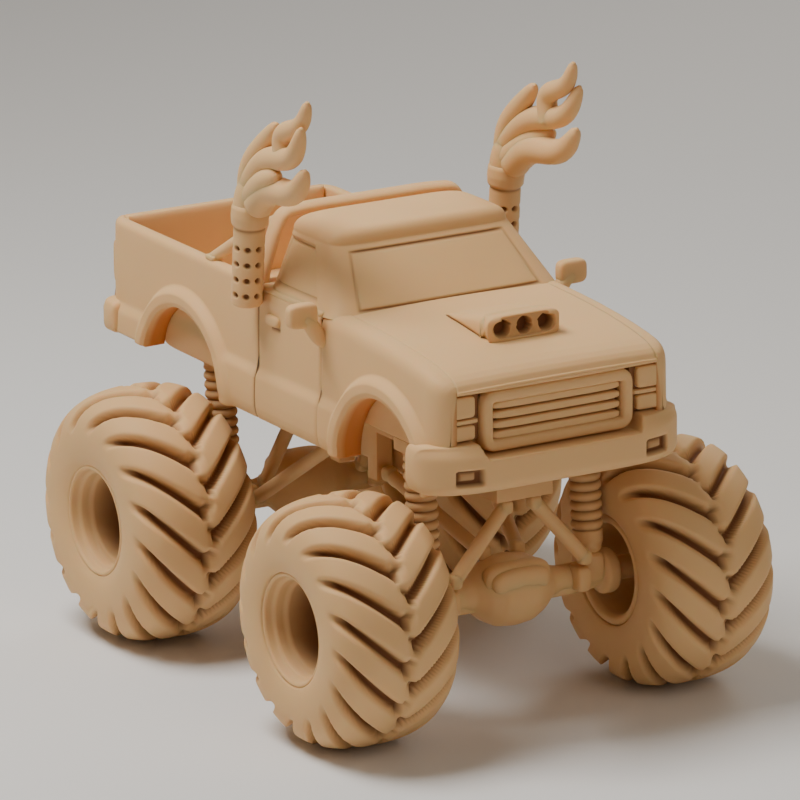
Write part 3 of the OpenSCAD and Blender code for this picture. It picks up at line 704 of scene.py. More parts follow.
class Glasshouse:
    """Cab above the belt: outlines |x|^7 + |y|^7 = 1 whose half sizes shrink with height by
    straight lines, then a roof that closes as k = cos(t)^0.32, z = z1 + dz sin(t)^0.85."""
    BASE, EAVES = 110.0, 127.0
    FOOT_Z, SIDE_FOOT_Z = 111.1, 110.5
    FRONT_FOOT_X, FRONT_LEAN = 36.0, 0.955
    REAR_FOOT_X, REAR_LEAN = -7.1, 0.07
    FOOT_HALF, SIDE_LEAN = 36.9, 0.475

    def __init__(self, roof):
        self.roof = roof

    def front(self, z):
        """Place of the front face at a height."""
        return self.FRONT_FOOT_X - self.FRONT_LEAN * (z - self.FOOT_Z)

    def rear(self, z):
        """Place of the rear face at a height."""
        return self.REAR_FOOT_X + self.REAR_LEAN * (z - self.FOOT_Z)

    def half(self, z):
        """Half of the width at a height."""
        return self.FOOT_HALF - self.SIDE_LEAN * (z - self.SIDE_FOOT_Z)

    def surface(self, unit, z, shrink=1.0):
        """The outline's x and y at each height, drawn in by shrink."""
        mid, long = (self.front(z) + self.rear(z)) / 2, (self.front(z) - self.rear(z)) / 2
        x = mid[:, None] + shrink * long[:, None] * unit[None, :, 0]
        y = shrink * self.half(z)[:, None] * unit[None, :, 1]
        return x, y


SCREEN = [(-29.0, 111.9), (29.0, 111.9), (24.6, 125.2), (-24.6, 125.2)]
SIDE_GLASS = [(-4.6, 112.3), (22.8, 112.3), (11.3, 125.6), (-4.0, 125.6)]
BACK_GLASS = [(-24.0, 114.0), (24.0, 114.0), (22.5, 124.5), (-22.5, 124.5)]


def belt_strip(shell, body, side, start=-7.1, end=27.7, top=111.5, foot=110.05):
    """The rounded ledge under the side glass, from its inner edge over the top and down."""
    x = np.linspace(start, end, 40)
    z_top = top + 0 * x
    y_top = body.flank(x, z_top)
    y = np.concatenate([straight(32.0 + 0 * x, y_top - 1.3, 4), bezier(
        y_top - 1.3, y_top, body.flank(x, z_top - 1.0), 6)[:, 1:]], 1)
    z = np.concatenate([np.repeat(z_top[:, None], 4, 1), bezier(z_top, z_top, z_top - 1.0, 6)[:, 1:]], 1)
    down = straight(z_top - 1.0, foot + 0 * x, 40)[:, 1:]
    out = body.flank(np.repeat(x[:, None], 39, 1), down)
    y = np.concatenate([y, out, 33.0 + 0 * out[:, :1]], 1)
    z = np.concatenate([z, down, down[:, -1:]], 1)
    shell.grid(capped(np.stack([np.repeat(x[:, None], y.shape[1], 1), side * y, z], -1)))


def cab_shell(body, house):
    """The glasshouse with the screen's outline cut into it and the side glass let in, then the
    belt and a thin sheet behind the door painted in full shade."""
    unit = square_ring(90, 7.0)
    z = np.linspace(house.BASE, house.EAVES, 70)
    x, y = house.surface(unit, z)
    height = np.repeat(z[:, None], unit.shape[0], 1)
    ahead = smoothstep(0.93, 0.99, unit[:, 0])[None, :]
    beside = smoothstep(0.93, 0.99, np.abs(unit[:, 1]))[None, :]
    behind = smoothstep(0.93, 0.99, -unit[:, 0])[None, :]
    screen = quad_distance(y, height, SCREEN)
    line = ahead * np.exp(-(screen / 0.36) ** 2)
    back = behind * np.exp(-(quad_distance(y, height, BACK_GLASS) / 0.42) ** 2)
    glass = quad_distance(x, height, SIDE_GLASS)
    sunk = beside * (1 - smoothstep(-1.0, 0.5, glass))
    x = x - 0.6 * line + 0.5 * back
    y = y - np.sign(y) * 1.25 * sunk
    rows = np.stack([x, y, height], -1)
    # painted shade along the screen's cut outline, round the rear glass and at the rim of the side glass
    rim = beside * np.exp(-((glass + 0.9) / 0.5) ** 2)
    shade = np.maximum(np.maximum(0.9 * line, 0.8 * back), 0.35 * rim)
    t = np.linspace(0, np.pi / 2, 26)[1:]
    z1 = np.full(len(t), house.EAVES)
    k = (np.cos(t) ** 0.22)[:, None]
    k[-1] = 0.0
    rx, ry = house.surface(unit, z1, k)
    roof_z = house.EAVES + (house.roof - house.EAVES) * np.sin(t) ** 0.9
    roof = np.stack([rx, ry, np.repeat(roof_z[:, None], unit.shape[0], 1)], -1)
    floor = rows[:1] * (0.0, 0.0, 1.0) + rows[:1].mean(1, keepdims=True) * (1.0, 1.0, 0.0)
    shade = np.concatenate([0 * shade[:1], shade, np.zeros((len(t), shade.shape[1]))])
    shell = Shell().grid(np.concatenate([floor, rows, roof]), painted_shade_and_glow=shade)
    for side in (-1.0, 1.0):
        belt_strip(shell, body, side)
    block(shell, (-7.1, -33, 82), (27.6, 33, 111.0), 40)
    # a thin sheet in full painted shade fills the gap between the cab and the bed
    block(shell, (-7.75, -36.6, 74), (-6.9, 36.6, 110.6), 40, 9, painted_shade_and_glow=full_painted_shade)
    return shell


def pane(shell, corners, place, thick):
    """A thin plate over an outline of four corners (u, v): bilinear in the unit square, its edges
    rounded off; place maps (u, v, depth) to the truck."""
    directions, faces = CUBES[13]
    unit = directions / (np.abs(directions) ** 14).sum(-1, keepdims=True) ** (1 / 14)
    s, t = (unit[:, 0] + 1) / 2, (unit[:, 1] + 1) / 2
    c = np.asarray(corners, float)
    uv = (np.outer((1 - s) * (1 - t), c[0]) + np.outer(s * (1 - t), c[1])
          + np.outer(s * t, c[2]) + np.outer((1 - s) * t, c[3]))
    shell.add(place(uv[:, 0], uv[:, 1], unit[:, 2] * thick), faces)


def inset(corners, amount):
    """An outline drawn in towards its middle."""
    c = np.asarray(corners, float)
    middle = c.mean(0)
    return c - np.sign(c - middle) * amount


def house_place(house, face, sink):
    """Maps (u, v, depth) onto a face of the glasshouse, sunk by a distance."""
    def spans(v):
        return (house.front(v) + house.rear(v)) / 2, (house.front(v) - house.rear(v)) / 2

    def end(way, u, v, depth):
        mid, long = spans(v)
        far = np.abs(u / house.half(v)) ** 7
        return np.stack([mid + way * (long * (1 - far) ** (1 / 7) + depth - sink), u, v], -1)

    def front(u, v, depth):
        return end(1.0, u, v, depth)

    def rear(u, v, depth):
        return end(-1.0, u, v, depth)

    def side(u, v, depth):
        mid, long = spans(v)
        far = np.abs((u - mid) / long) ** 7
        y = house.half(v) * np.maximum(1 - far, 0.0) ** (1 / 7)
        return np.stack([u, face * (y + depth - sink), v], -1)
    return {"front": front, "rear": rear}.get(face, side)


class TruckBody(bpy.types.PropertyGroup):
    """Sizes of the body that its panels share."""
    front_arch_x: bpy.props.FloatProperty(
        name="Front arch", description="Middle of the front arches along the truck", default=0.0615,
        subtype="DISTANCE", unit="LENGTH")
    rear_arch_x: bpy.props.FloatProperty(
        name="Rear arch", description="Middle of the rear arches along the truck", default=-0.05,
        subtype="DISTANCE", unit="LENGTH")
    arch_radius: bpy.props.FloatProperty(
        name="Arch radius", description="Radius of a wheel arch", default=0.0223,
        subtype="DISTANCE", unit="LENGTH")
    arch_height: bpy.props.FloatProperty(
        name="Arch height", description="Height of the arches' middles", default=0.0723,
        subtype="DISTANCE", unit="LENGTH")


class TRUCK_OT_body(bpy.types.Operator):
    """Adds wings, bonnet, doors, cab, panes and bed"""
    bl_idname = "truck.body"
    bl_label = "Add body"

    def execute(self, context):
        body = Body(context.scene.truck_body)
        house = Glasshouse(node_box("cab")[1][2])
        resin_body, glass = material_of("resin_body"), material_of("resin_pane")
        for name, side in SIDES:
            wing_shell(body, side).build(f"wing_skin_{name}", resin_body, "resin_body", [f"wing_{name}"])
            door_shell(body, side).build(f"door_skin_{name}", resin_body, "resin_body", [f"door_{name}"])
            window = Shell()
            pane(window, inset(SIDE_GLASS, 1.0), house_place(house, side, 1.7), 0.6)
            window.build(f"side_pane_{name}", glass, "resin_pane", [f"side_window_{name}"])
        bonnet_shell(body).build("bonnet_skin", resin_body, "resin_body", ["bonnet"])
        scoop_shell(body).build("triple_scoop", resin_body, "resin_body", ["bonnet_scoop"])
        cab_shell(body, house).build("cab_skin", resin_body, "resin_body", ["cab"])
        screen = Shell()
        pane(screen, inset(SCREEN, 0.6), house_place(house, "front", 0.55), 0.6)
        screen.build("screen_pane", glass, "resin_pane", ["windscreen"])
        rear = Shell()
        pane(rear, inset(BACK_GLASS, 0.75), house_place(house, "rear", 0.5), 0.6)
        rear.build("rear_pane", glass, "resin_pane", ["rear_window"])
        bed = bed_shell(body, -1.0)
        left = bed_shell(body, 1.0)
        bed.parts += left.parts
        low, high = node_box("bed")
        block(bed, (low[0] + 1, -33.1, 85), (high[0], 33.1, 89), 30)
        block(bed, (high[0] - 4.2, -33.4, 86), (high[0] - 0.1, 33.4, high[2]), 24, 21)
        for side in (-1.0, 1.0):
            block(bed, (body.arches[1] - 23, side * 27.8, 78), (body.arches[1] + 23, side * 33.2, 97.5), 9)
        bed.build("bed_skin", resin_body, "resin_body", ["bed"])
        return {"FINISHED"}


# ---------- front and rear ----------

def bumper_shell(node, ahead, bend_share, lamps, dip=0.0):
    """Bumper: a rounded profile across the truck whose face bends back by (y / w)^6; lamp hollows
    sink into its face, and its top dips under the grille."""
    low, high = node_box(node)
    face, back = (high[0], low[0]) if ahead > 0 else (low[0], high[0])
    wide, deep, mid = high[1], abs(face - back), (low[2] + high[2]) / 2
    t = np.linspace(-1, 1, 161)
    y = wide * np.sin(t * np.pi / 2) * 0.35 + wide * 0.65 * t
    squeeze = np.clip(1 - np.abs(t) ** 26, 0.0, 1.0) ** 0.4
    unit = square_ring(20, 5.0)
    bend = bend_share * deep * np.abs(y / wide) ** 6
    tall = (high[2] - low[2]) / 2
    reach = (deep - bend)[:, None] / 2
    x = reach * unit[None, :, 0] * (0.35 + 0.65 * squeeze[:, None])
    z = mid + tall * unit[None, :, 1] * (0.3 + 0.7 * squeeze[:, None])
    yy = np.repeat(y[:, None], unit.shape[0], 1)
    front = smoothstep(0.7, 0.98, unit[:, 0])[None, :]
    x = x - 1.3 * front * smoothstep(0.45, 1.0, (z - mid) / tall) - 0.5 * front * smoothstep(
        -0.6, -1.0, (z - mid) / tall)
    shade = np.zeros_like(yy)
    for lamp_y, lamp_z, half_y, half_z in lamps:
        u, v = np.abs(yy - lamp_y) / half_y, np.abs(z - lamp_z) / half_z
        hole = front * (1 - smoothstep(0.86, 1.06, np.maximum(u, v)))
        inner = (1 - smoothstep(0.5, 0.62, np.maximum(np.abs(yy - lamp_y + 0.6) / half_y,
                                                      np.abs(z - lamp_z - 0.4) / half_z)))
        x = x - 2.0 * hole + 1.1 * hole * inner
        # painted shade in the lamp hollows, lighter on the lamp inside them
        shade = np.maximum(shade, hole * (1 - 0.6 * inner))
    x = back + ahead * (reach + x)
    z = np.minimum(z, high[2] - dip * (1 - smoothstep(24.3, 26.3, np.abs(yy))))
    rows = np.stack([x, yy, z], -1)
    shade = np.concatenate([shade[:1], shade, shade[-1:]])
    return Shell().grid(capped(rows), painted_shade_and_glow=shade)


def frame_shell(low, high, bar, corner):
    """A rounded rectangular frame: the section (x, outwards) runs round a corner-cut outline."""
    w, h = (high[1] - low[1]) / 2 - bar / 2, (high[2] - low[2]) / 2 - bar / 2
    outline = softened([(w, 0), (w, h), (-w, h), (-w, -h), (w, -h), (w, 0)], corner, 9)[:-1]
    ahead = np.roll(outline, -1, axis=0) - np.roll(outline, 1, axis=0)
    out = np.stack([ahead[:, 1], -ahead[:, 0]], -1)
    out /= np.linalg.norm(out, axis=1, keepdims=True)
    unit = square_ring(7, 3.2)
    across = out[:, None, :] * (unit[None, :, 1:] * bar / 2)
    mid = (np.asarray(low) + high) / 2
    yz = outline[:, None, :] + across + mid[1:]
    x = np.broadcast_to(mid[0] + unit[None, :, 0] * (high[0] - low[0]) / 2, yz.shape[:2])
    return Shell().grid(np.concatenate([x[..., None], yz], -1), wrap_rows=True)


def slat_shell(low, high, count):
    """Slats over a back plate in full painted shade."""
    shell = Shell()
    # the back plate is painted in full shade
    block(shell, (low[0] - 0.4, low[1] - 0.6, low[2] - 0.6), (low[0] + 0.8, high[1] + 0.6, high[2] + 0.6),
          30, 9, painted_shade_and_glow=full_painted_shade)
    edges = np.linspace(low[2] - 0.25, high[2] + 0.25, count + 1)
    for bottom, top in zip(edges[:-1], edges[1:]):
        block(shell, (low[0], low[1] - 0.1, bottom + 0.3), (high[0] - 0.15, high[1] + 0.1, top - 0.3), 6)
    return shell


def headlamp_shell(body, low, high, side):
    """Two stacked blocks on a plate, with a narrow band between them, that follow the rounded
    corner of the nose: x + corner(y) - corner(0)."""
    def wrap(near, far):
        """The bend of a block whose middle lies between near and far."""
        def bend(unit, points):
            shift = body.corner_x(np.abs(points[:, 1] + (near + far) / 2)) - body.corner_x(0.0)
            return points + np.outer(shift, (1.0, 0.0, 0.0))
        return bend

    # the plate behind the lamps is painted in shade
    def plate_shade(unit):
        return 0.9 * full_painted_shade(unit)

    y0, y1 = (low[1], high[1]) if side > 0 else (high[1], low[1])
    shell = Shell()
    near, far = y0 - side * 0.4, y1 - side * 1.0
    block(shell, (low[0] - 1.0, near, low[2] - 0.8), (low[0] + 2.2, far, high[2] + 0.5),
          30, 13, wrap(near, far), painted_shade_and_glow=plate_shade)
    for z0, z1, a, b, x in ((94.9, 101.0, 1.3, 1.7, 0.1), (88.7, 92.9, 1.3, 1.5, 0.2),
                            (93.3, 94.5, 0.2, 0.9, 0.35)):
        near, far = y0 + side * a, y1 - side * b
        block(shell, (low[0] - 0.5, near, z0), (high[0] - x, far, z1), 7, 13, wrap(near, far))
    return shell


def tailgate_shell(low, high):
    """Tailgate: a slab with a shallow rectangle pressed into its outer face."""
    y, z = np.meshgrid(np.linspace(-1, 1, 101), np.linspace(-1, 1, 45), indexing="ij")
    edge = np.maximum(np.abs(y) ** 24, np.abs(z) ** 12)
    half_y, half_z = (high[1] - low[1]) / 2, (high[2] - low[2]) / 2
    mid_z = (low[2] + high[2]) / 2
    frame_depth = np.maximum(np.abs(y) * half_y - 24.5, np.abs(z - 0.05) * half_z - 7.0)
    pressed = 1 - smoothstep(-0.4, 0.5, frame_depth)
    latch = 1 - smoothstep(0.8, 1.1, np.hypot(y * half_y / 4.6, (z - 0.74) * half_z / 1.3))
    outer = np.stack([low[0] + 1.0 * edge + 0.55 * pressed + 0.8 * latch, y * half_y, mid_z + z * half_z], -1)
    inner = np.stack([high[0] - 0.8 * edge, y * half_y, mid_z + z * half_z], -1)
    rows = np.concatenate([outer, inner[:, ::-1]], 1)
    # painted shade along the edge of the pressed rectangle and round the latch
    line = 0.45 * np.exp(-(frame_depth / 0.5) ** 2) + 0.6 * latch
    shade = np.concatenate([line, 0 * line], 1)
    shade = np.concatenate([shade[:1], shade, shade[-1:]])
    return Shell().grid(capped(rows), painted_shade_and_glow=shade)


class TRUCK_OT_ends(bpy.types.Operator):
    """Adds the bumpers, the grille, the lamps and the tailgate"""
    bl_idname = "truck.ends"
    bl_label = "Add front and rear"

    def execute(self, context):
        resin_body = material_of("resin_body")
        body = Body(context.scene.truck_body)
        lamps = [(s * 29.7, 79.2, 3.8, 2.0) for s in (-1, 1)]
        bumper_shell("front_bumper", 1.0, 0.55, lamps, dip=4.2).build(
            "front_bumper_bar", resin_body, "resin_body", ["front_bumper"])
        bumper_shell("rear_bumper", -1.0, 0.3, []).build(
            "rear_bumper_bar", resin_body, "resin_body", ["rear_bumper"])
        low, high = node_box("grille_surround")
        frame_shell(low, high, 3.5, 2.6).build("grille_frame", resin_body, "resin_body", ["grille_surround"])
        low, high = node_box("grille_slats")
        slat_shell(low, high, 4).build("slats", resin_body, "resin_body", ["grille_slats"])
        for name, side in SIDES:
            low, high = node_box(f"headlamp_{name}")
            headlamp_shell(body, low, high, side).build(
                f"lamp_pair_{name}", resin_body, "resin_body", [f"headlamp_{name}"])
        low, high = node_box("tailgate")
        tailgate_shell(low, high).build("tailgate_slab", resin_body, "resin_body", ["tailgate"])
        low, high = node_box("tail_lamps")
        lamps = Shell()
        for side in (-1.0, 1.0):
            block(lamps, (low[0], side * 33.2, low[2]), (high[0] + 1.0, side * 36.6, high[2]), 5)
        lamps.build("tail_lamp_pair", resin_body, "resin_body", ["tail_lamps"])
        return {"FINISHED"}


# ---------- hoop, stacks, flames, mirrors ----------

def hoop_shell():
    """Roll hoop and its two braces."""
    low, high = node_box("roll_hoop")
    top, x = high[2] - 3.2, high[0] - 2.6
    half = [(x, -34.6, low[2] - 2), (x, -34.0, 114), (x, -32.2, 119.5), (x, -29.8, 126), (x, -27.4, 129.6),
            (x, -23.5, top - 0.3), (x, -17, top), (x, -8, top), (x, 0, top)]
    path = np.array(half + [(a, -b, c) for a, b, c in half[-2::-1]])
    shell = Shell()
    tube(shell, curve(path, 130), 1.65, 24, flat=1.75)
    for side in (-1.0, 1.0):
        brace = np.array([(x - 0.5, side * 27.6, 128.4), (x - 14, side * 31, 121), (low[0] + 1.6, side * 34.4,
                                                                                   low[2] - 0.5)])
        tube(shell, curve(brace, 30), 1.8, 16)
        block(shell, (low[0], side * 33, low[2] - 0.6), (low[0] + 5, side * 36.4, low[2] + 1.0), 4, 9)
    return shell


STACK_Y = 41.6
STACK_FOOT = (-6.7, 106.5)
STACK_LEAN = np.radians(6.0)
HOLE_ROWS = (3.6, 8.2, 12.8, 17.4)
HOLES_AROUND = 8


def stack_place(side, height):
    """Middle of a leaning stack at a height over its foot."""
    foot = np.array([STACK_FOOT[0], side * STACK_Y, STACK_FOOT[1]])
    return foot + np.outer(np.atleast_1d(height), [np.sin(STACK_LEAN), 0, np.cos(STACK_LEAN)])


def stack_shell(side):
    """Side stack: a leaning pipe with rows of oval holes pressed in, under a round collar."""
    height = np.concatenate([np.linspace(0, 0.8, 5), np.linspace(0.9, 22.8, 96), np.linspace(23, 30.1, 30)])
    radius = np.interp(height, [0, 0.25, 0.8, 22.8, 23.4, 24.2, 26.5, 29.0, 29.8, 30.1],
                       [3.6, 4.2, 4.5, 4.5, 4.75, 5.2, 5.4, 5.2, 4.8, 4.2])
    angle = np.linspace(0, TAU, 88, endpoint=False)[None, :]
    hole = np.zeros((len(height), 88))
    for row in HOLE_ROWS:
        turn_off = np.abs((angle * HOLES_AROUND / TAU + 0.25) % 1.0 - 0.5) * TAU / HOLES_AROUND * 4.5
        away = np.hypot(turn_off, (height[:, None] - row) / 0.8)
        hole = np.maximum(hole, 1 - smoothstep(0.72, 1.2, away))
    line = np.exp(-((height - 23.0) / 0.5) ** 2)[:, None] + 0 * angle
    r = radius[:, None] - 1.0 * hole - 0.2 * line
    centre = stack_place(side, height)
    ring = np.stack([np.cos(angle) * np.cos(STACK_LEAN), np.sin(angle),
                     -np.cos(angle) * np.sin(STACK_LEAN)], -1)
    rows = centre[:, None, :] + r[..., None] * ring
    # painted shade in the oval holes and along the line under the collar
    shade = np.maximum(hole, 0.6 * line)
    shade = np.concatenate([shade[:1], shade, shade[-1:]])
    return Shell().grid(capped(rows), painted_shade_and_glow=shade)


class Tongue:
    """One tongue of a flame in the truck's x and z, with y measured outwards from its stack."""
    END_RADIUS = 0.7

    def __init__(self, foot, tip, bow, sway, thick):
        self.foot, self.tip, self.thick = foot, tip, thick
        self.bow, self.sway = (np.array([x, 0.0, z]) for x, z in (bow, sway))

    def path(self, t):
        """foot + t (tip - foot) + bow sin(pi t) + sway sin(2 pi t)."""
        line = np.outer(1 - t, self.foot) + np.outer(t, self.tip)
        return line + np.outer(np.sin(np.pi * t), self.bow) + np.outer(np.sin(TAU * t), self.sway)

    def radius(self, t):
        """end + (thick - end) sqrt(1 - t^2.5): full at the foot, slim at the tip."""
        return self.END_RADIUS + (self.thick - self.END_RADIUS) * np.sqrt(1 - t ** 2.5)


STEM = Tongue((-4, 0, 135), (-2, 0, 145), (0, 0), (0, 0), 4.8)
BACK_TONGUE = Tongue((-4, 0, 139), (12, 0, 162), (-3, 1), (-1, 0), 3.5)
MIDDLE_TONGUE = Tongue((-3, 0, 142), (31, 3, 165), (3, 0), (-1, 2.5), 3.6)
TOP_TONGUE = Tongue((18, 1, 153), (31, 1, 172), (-3, 0), (-2, 1.5), 3.0)
LOW_TONGUE = Tongue((1, 0, 137), (31, 2, 153), (1, -1), (-1, 2), 4.2)
FILLING = Tongue((-1, 0, 139), (17, 3, 149), (0, 1), (0, 0), 4.0)
FLAME = (STEM, BACK_TONGUE, MIDDLE_TONGUE, TOP_TONGUE, LOW_TONGUE, FILLING)


def flame_shell(side):
    """Flame: tapering tongues that share one stem."""
    shell = Shell()
    t = np.linspace(0, 1, 48)
    for tongue in FLAME:
        tube(shell, tongue.path(t) * (1, side, 1) + (0, side * STACK_Y, 0), tongue.radius(t), 24)
    return shell


def mirror_shell(side):
    """Door mirror: a soft head on a thick foot."""
    shell = Shell()
    block(shell, (25.6, side * 39.0, 107.9), (29.8, side * 48.2, 114.9), 4.0)
    tube(shell, curve([(27.6, side * 36.6, 103.4), (27.8, side * 38.6, 105.0), (27.8, side * 41.0, 108.6),
                       (27.8, side * 43.0, 110.6)], 20), np.linspace(2.3, 2.2, 20), 18)
    return shell


class TRUCK_OT_fittings(bpy.types.Operator):
    """Adds the roll hoop, the stacks with their flames and the mirrors"""
    bl_idname = "truck.fittings"
    bl_label = "Add fittings"

    def execute(self, context):
        resin_body = material_of("resin_body")
        hoop_shell().build("roll_hoop_bars", resin_body, "resin_body", ["roll_hoop"])
        for name, side in SIDES:
            stack_shell(side).build(f"stack_pipe_{name}", resin_body, "resin_body", [f"stack_{name}"])
            flame_shell(side).build(f"flame_tongues_{name}", resin_body, "resin_body", [f"flame_{name}"])
            mirror_shell(side).build(f"door_mirror_{name}", resin_body, "resin_body", [f"mirror_{name}"])
        return {"FINISHED"}


# ---------- running gear ----------

def axle_shell(end, ahead):
    """Beam axle: a turned profile about Y with a bulge in the middle, a flat beam in front of it,
    an oval cover, end caps, spring seats and link lugs."""
    low, high = node_box(f"{end}_axle")
    centre = (low + high) / 2
    half = [(0, 52.5), (2.2, 52.4), (2.2, 47.6), (3.4, 47.0), (3.4, 34.4), (5.6, 34.0),
            (6.4, 33.0), (6.4, 30.0), (5.6, 29.2), (4.0, 28.6), (3.9, 16), (4.8, 12.5), (7.6, 9.2),
            (9.7, 5.2), (10.3, 0)]
    profile = np.array(half + [(r, -y) for r, y in half[-2::-1]])
    shell = Shell()
    revolved(shell, softened(profile, 0.9, 5), centre, 1.0, 64)
    x, z = centre[0], centre[2]
    block(shell, (x - 3.4, -30, z - 4.4), (x + 3.4, 30, z + 2.6), 5)
    block(shell, (x + ahead * 1.0, -10.4, z - 1.2), (x + ahead * 7.6, 10.4, z + 9.4), 3.4)
    block(shell, (x + ahead * 4.0, -9.2, z + 0.2), (x + ahead * 9.6, 9.2, z + 8.2), 2.6)
    for side in (-1.0, 1.0):
        block(shell, (x - 4, side * 22.6, z - 2), (x + 4.6, side * 29.4, z + 6.8), 5)
        block(shell, (x, side * 18.8, z - 3), (x + 7.4, side * 23.4, z + 4.4), 4)
    return shell


def spring_shell(end, side_name, side):
    """Coil spring: rings of radius r + a |sin| along a leaning line, over a plain lower cup."""
    low, high = node_box(f"coilover_{end}_{side_name}")
    y = (low[1] + high[1]) / 2
    foot = np.array([high[0] - 4.9, y, low[2] + 1.0])
    top = np.array([low[0] + 4.9, y, high[2] - 0.7])
    s = np.linspace(0, 1, 200)
    length = np.linalg.norm(top - foot)
    turns = (s * length - 5.0) / 2.75
    ring = np.abs(np.sin(np.pi * turns)) ** 0.55
    coil = 3.55 + 1.05 * ring
    cup = 4.35 - 0.5 * smoothstep(0.05, 0.0, s)
    on_coil = smoothstep(4.4, 5.2, s * length) * smoothstep(length - 1.0, length - 2.0, s * length)
    radius = cup * (1 - on_coil) + coil * on_coil
    shell = Shell()
    # painted shade in the gaps between the coils
    shade = np.concatenate([np.zeros(5), 0.85 * on_coil * (1 - ring), np.zeros(5)])
    tube(shell, foot + np.outer(s, top - foot), radius * 0.995, 28, painted_shade_and_glow=np.repeat(shade[:, None], 28, 1))
    return shell


def links_shell(end):
    """Links of one axle: straight bars with round eyes at their ends."""
    low, high = node_box(f"{end}_links")
    shell = Shell()
    for side in (-1.0, 1.0):
        if end == "front":
            runs = [((high[0] - 2.1, side * 4.6, high[2] - 2.0), (high[0] - 2.1, side * 20.9, low[2] + 2.4)),
                    ((60.0, side * 5.5, 45.2), (25.6, side * 15.0, 60.9))]
        else:
            runs = [((-41.0, side * 20.0, 37.9), (-5.0, side * 15.0, 62.0)),
                    ((-43.4, side * 16.2, 41.4), (-23.8, side * 15.0, 70.6))]
        for a, b in runs:
            a, b = np.array(a), np.array(b)
            tube(shell, a + np.outer(np.linspace(0, 1, 12), b - a), 2.05, 18, flat=1.0)
            for spot in (a, b):
                block(shell, spot - (2.2, 2.0, 2.2), spot + (2.2, 2.0, 2.2), 3, 9)
    return shell


def soft_copy(node, name, slot, width):
    """A copy of a CAD node's own solid with its seams merged and its edges rounded."""
    mesh = frame["nodes"][node].data.copy()
    work = bmesh.new()
    work.from_mesh(mesh)
    work.transform(frame["nodes"][node].matrix_world)
    bmesh.ops.remove_doubles(work, verts=work.verts, dist=1e-6)
    bmesh.ops.dissolve_limit(work, angle_limit=0.01, verts=work.verts, edges=work.edges)
    work.to_mesh(mesh)
    work.free()
    mesh.name = name
    mesh.materials.clear()
    mesh.materials.append(material_of(slot))
    mesh.shade_smooth()
    obj = bpy.data.objects.new(name, mesh)
    bpy.context.scene.collection.objects.link(obj)
    bevel = obj.modifiers.new("soft edges", "BEVEL")
    bevel.width = width * MM
    bevel.segments = 3
    bevel.limit_method = "ANGLE"
    bevel.angle_limit = 0.6
    bevel.harden_normals = True
    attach(obj, ROOT)
    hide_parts(node)
    return obj


class TRUCK_OT_gear(bpy.types.Operator):
    """Adds axles, links, springs, frame and gearbox"""
    bl_idname = "truck.gear"
    bl_label = "Add running gear"

    def execute(self, context):
        gear = material_of("resin_running_gear")
        for end, ahead in (("front", 1.0), ("rear", -1.0)):
            axle_shell(end, ahead).build(f"{end}_beam", gear, "resin_running_gear", [f"{end}_axle"])
            links_shell(end).build(f"{end}_link_bars", gear, "resin_running_gear", [f"{end}_links"])
            for name, side in SIDES:
                spring_shell(end, name, side).build(
                    f"spring_{end}_{name}", gear, "resin_running_gear", [f"coilover_{end}_{name}"])
        soft_copy("chassis_frame", "ladder_frame", "resin_running_gear", 0.7)
        soft_copy("transfer_case", "gearbox", "resin_running_gear", 0.8)
        soft_copy("engine_bay", "inner_nose", "resin_body", 0.6)
        return {"FINISHED"}


# ---------- stage ----------

class TruckLook(bpy.types.PropertyGroup):
    """Colours of the resin, and of the painted shade and painted glow on it."""
    resin_colour: bpy.props.FloatVectorProperty(
        name="Resin", description="Colour of the resin in the light", default=(0.79, 0.495, 0.235),
        subtype="COLOR")
    # painted shade: the colour that grooves and hollows darken towards
    painted_shade_colour: bpy.props.FloatVectorProperty(
        name="Hollows", description="Colour of the resin in its grooves", default=(0.15, 0.038, 0.01),
        subtype="COLOR")
    # painted glow: the colour painted on thin walls in place of light coming through them
    painted_glow_colour: bpy.props.FloatVectorProperty(
        name="Thin walls", description="Colour where light comes through thin walls",
        default=(0.66, 0.25, 0.07), subtype="COLOR")
    glow: bpy.props.FloatProperty(
        name="Glow", description="Share of the light that wanders below the surface", default=0.35)
    glow_depth: bpy.props.FloatProperty(
        name="Glow depth", description="How far the light wanders", default=0.0018,
        subtype="DISTANCE", unit="LENGTH")
    tooth: bpy.props.FloatProperty(
        name="Tooth", description="Strength of the fine surface tooth", default=0.1)


class TruckStage(bpy.types.PropertyGroup):
    """Camera, light and floor."""
    azimuth: bpy.props.FloatProperty(
        name="Azimuth", description="Direction of the camera round the truck",
        default=1.0416, subtype="ANGLE", unit="ROTATION")
    elevation: bpy.props.FloatProperty(
        name="Elevation", description="Height of the camera over the horizon",
        default=0.2815, subtype="ANGLE", unit="ROTATION")
    roll: bpy.props.FloatProperty(
        name="Roll", description="Turn of the camera about its view", default=-0.0117,
        subtype="ANGLE", unit="ROTATION")
    distance: bpy.props.FloatProperty(
        name="Distance", description="Distance of the camera", default=2.0,
        subtype="DISTANCE", unit="LENGTH")
    aim: bpy.props.FloatVectorProperty(
        name="Aim", description="Point that the camera faces", default=(0.0037, 0.0015, 0.0744),
        subtype="XYZ", unit="LENGTH")
    lens: bpy.props.FloatProperty(name="Lens", description="Focal length in millimetres", default=319.0)
    floor_colour: bpy.props.FloatVectorProperty(
        name="Floor", description="Colour of the floor", default=(0.86, 0.86, 0.86), subtype="COLOR")


def add_light(name, energy, size, place, target, colour):
    """A square area light at place that faces target."""
    data = bpy.data.lights.new(name, "AREA")
    data.energy = energy
    data.size = size
    data.color = colour
    lamp = bpy.data.objects.new(name, data)
    lamp.location = place
    lamp.rotation_euler = (Vector(target) - Vector(place)).to_track_quat("-Z", "Y").to_euler()
    bpy.context.scene.collection.objects.link(lamp)
    return lamp


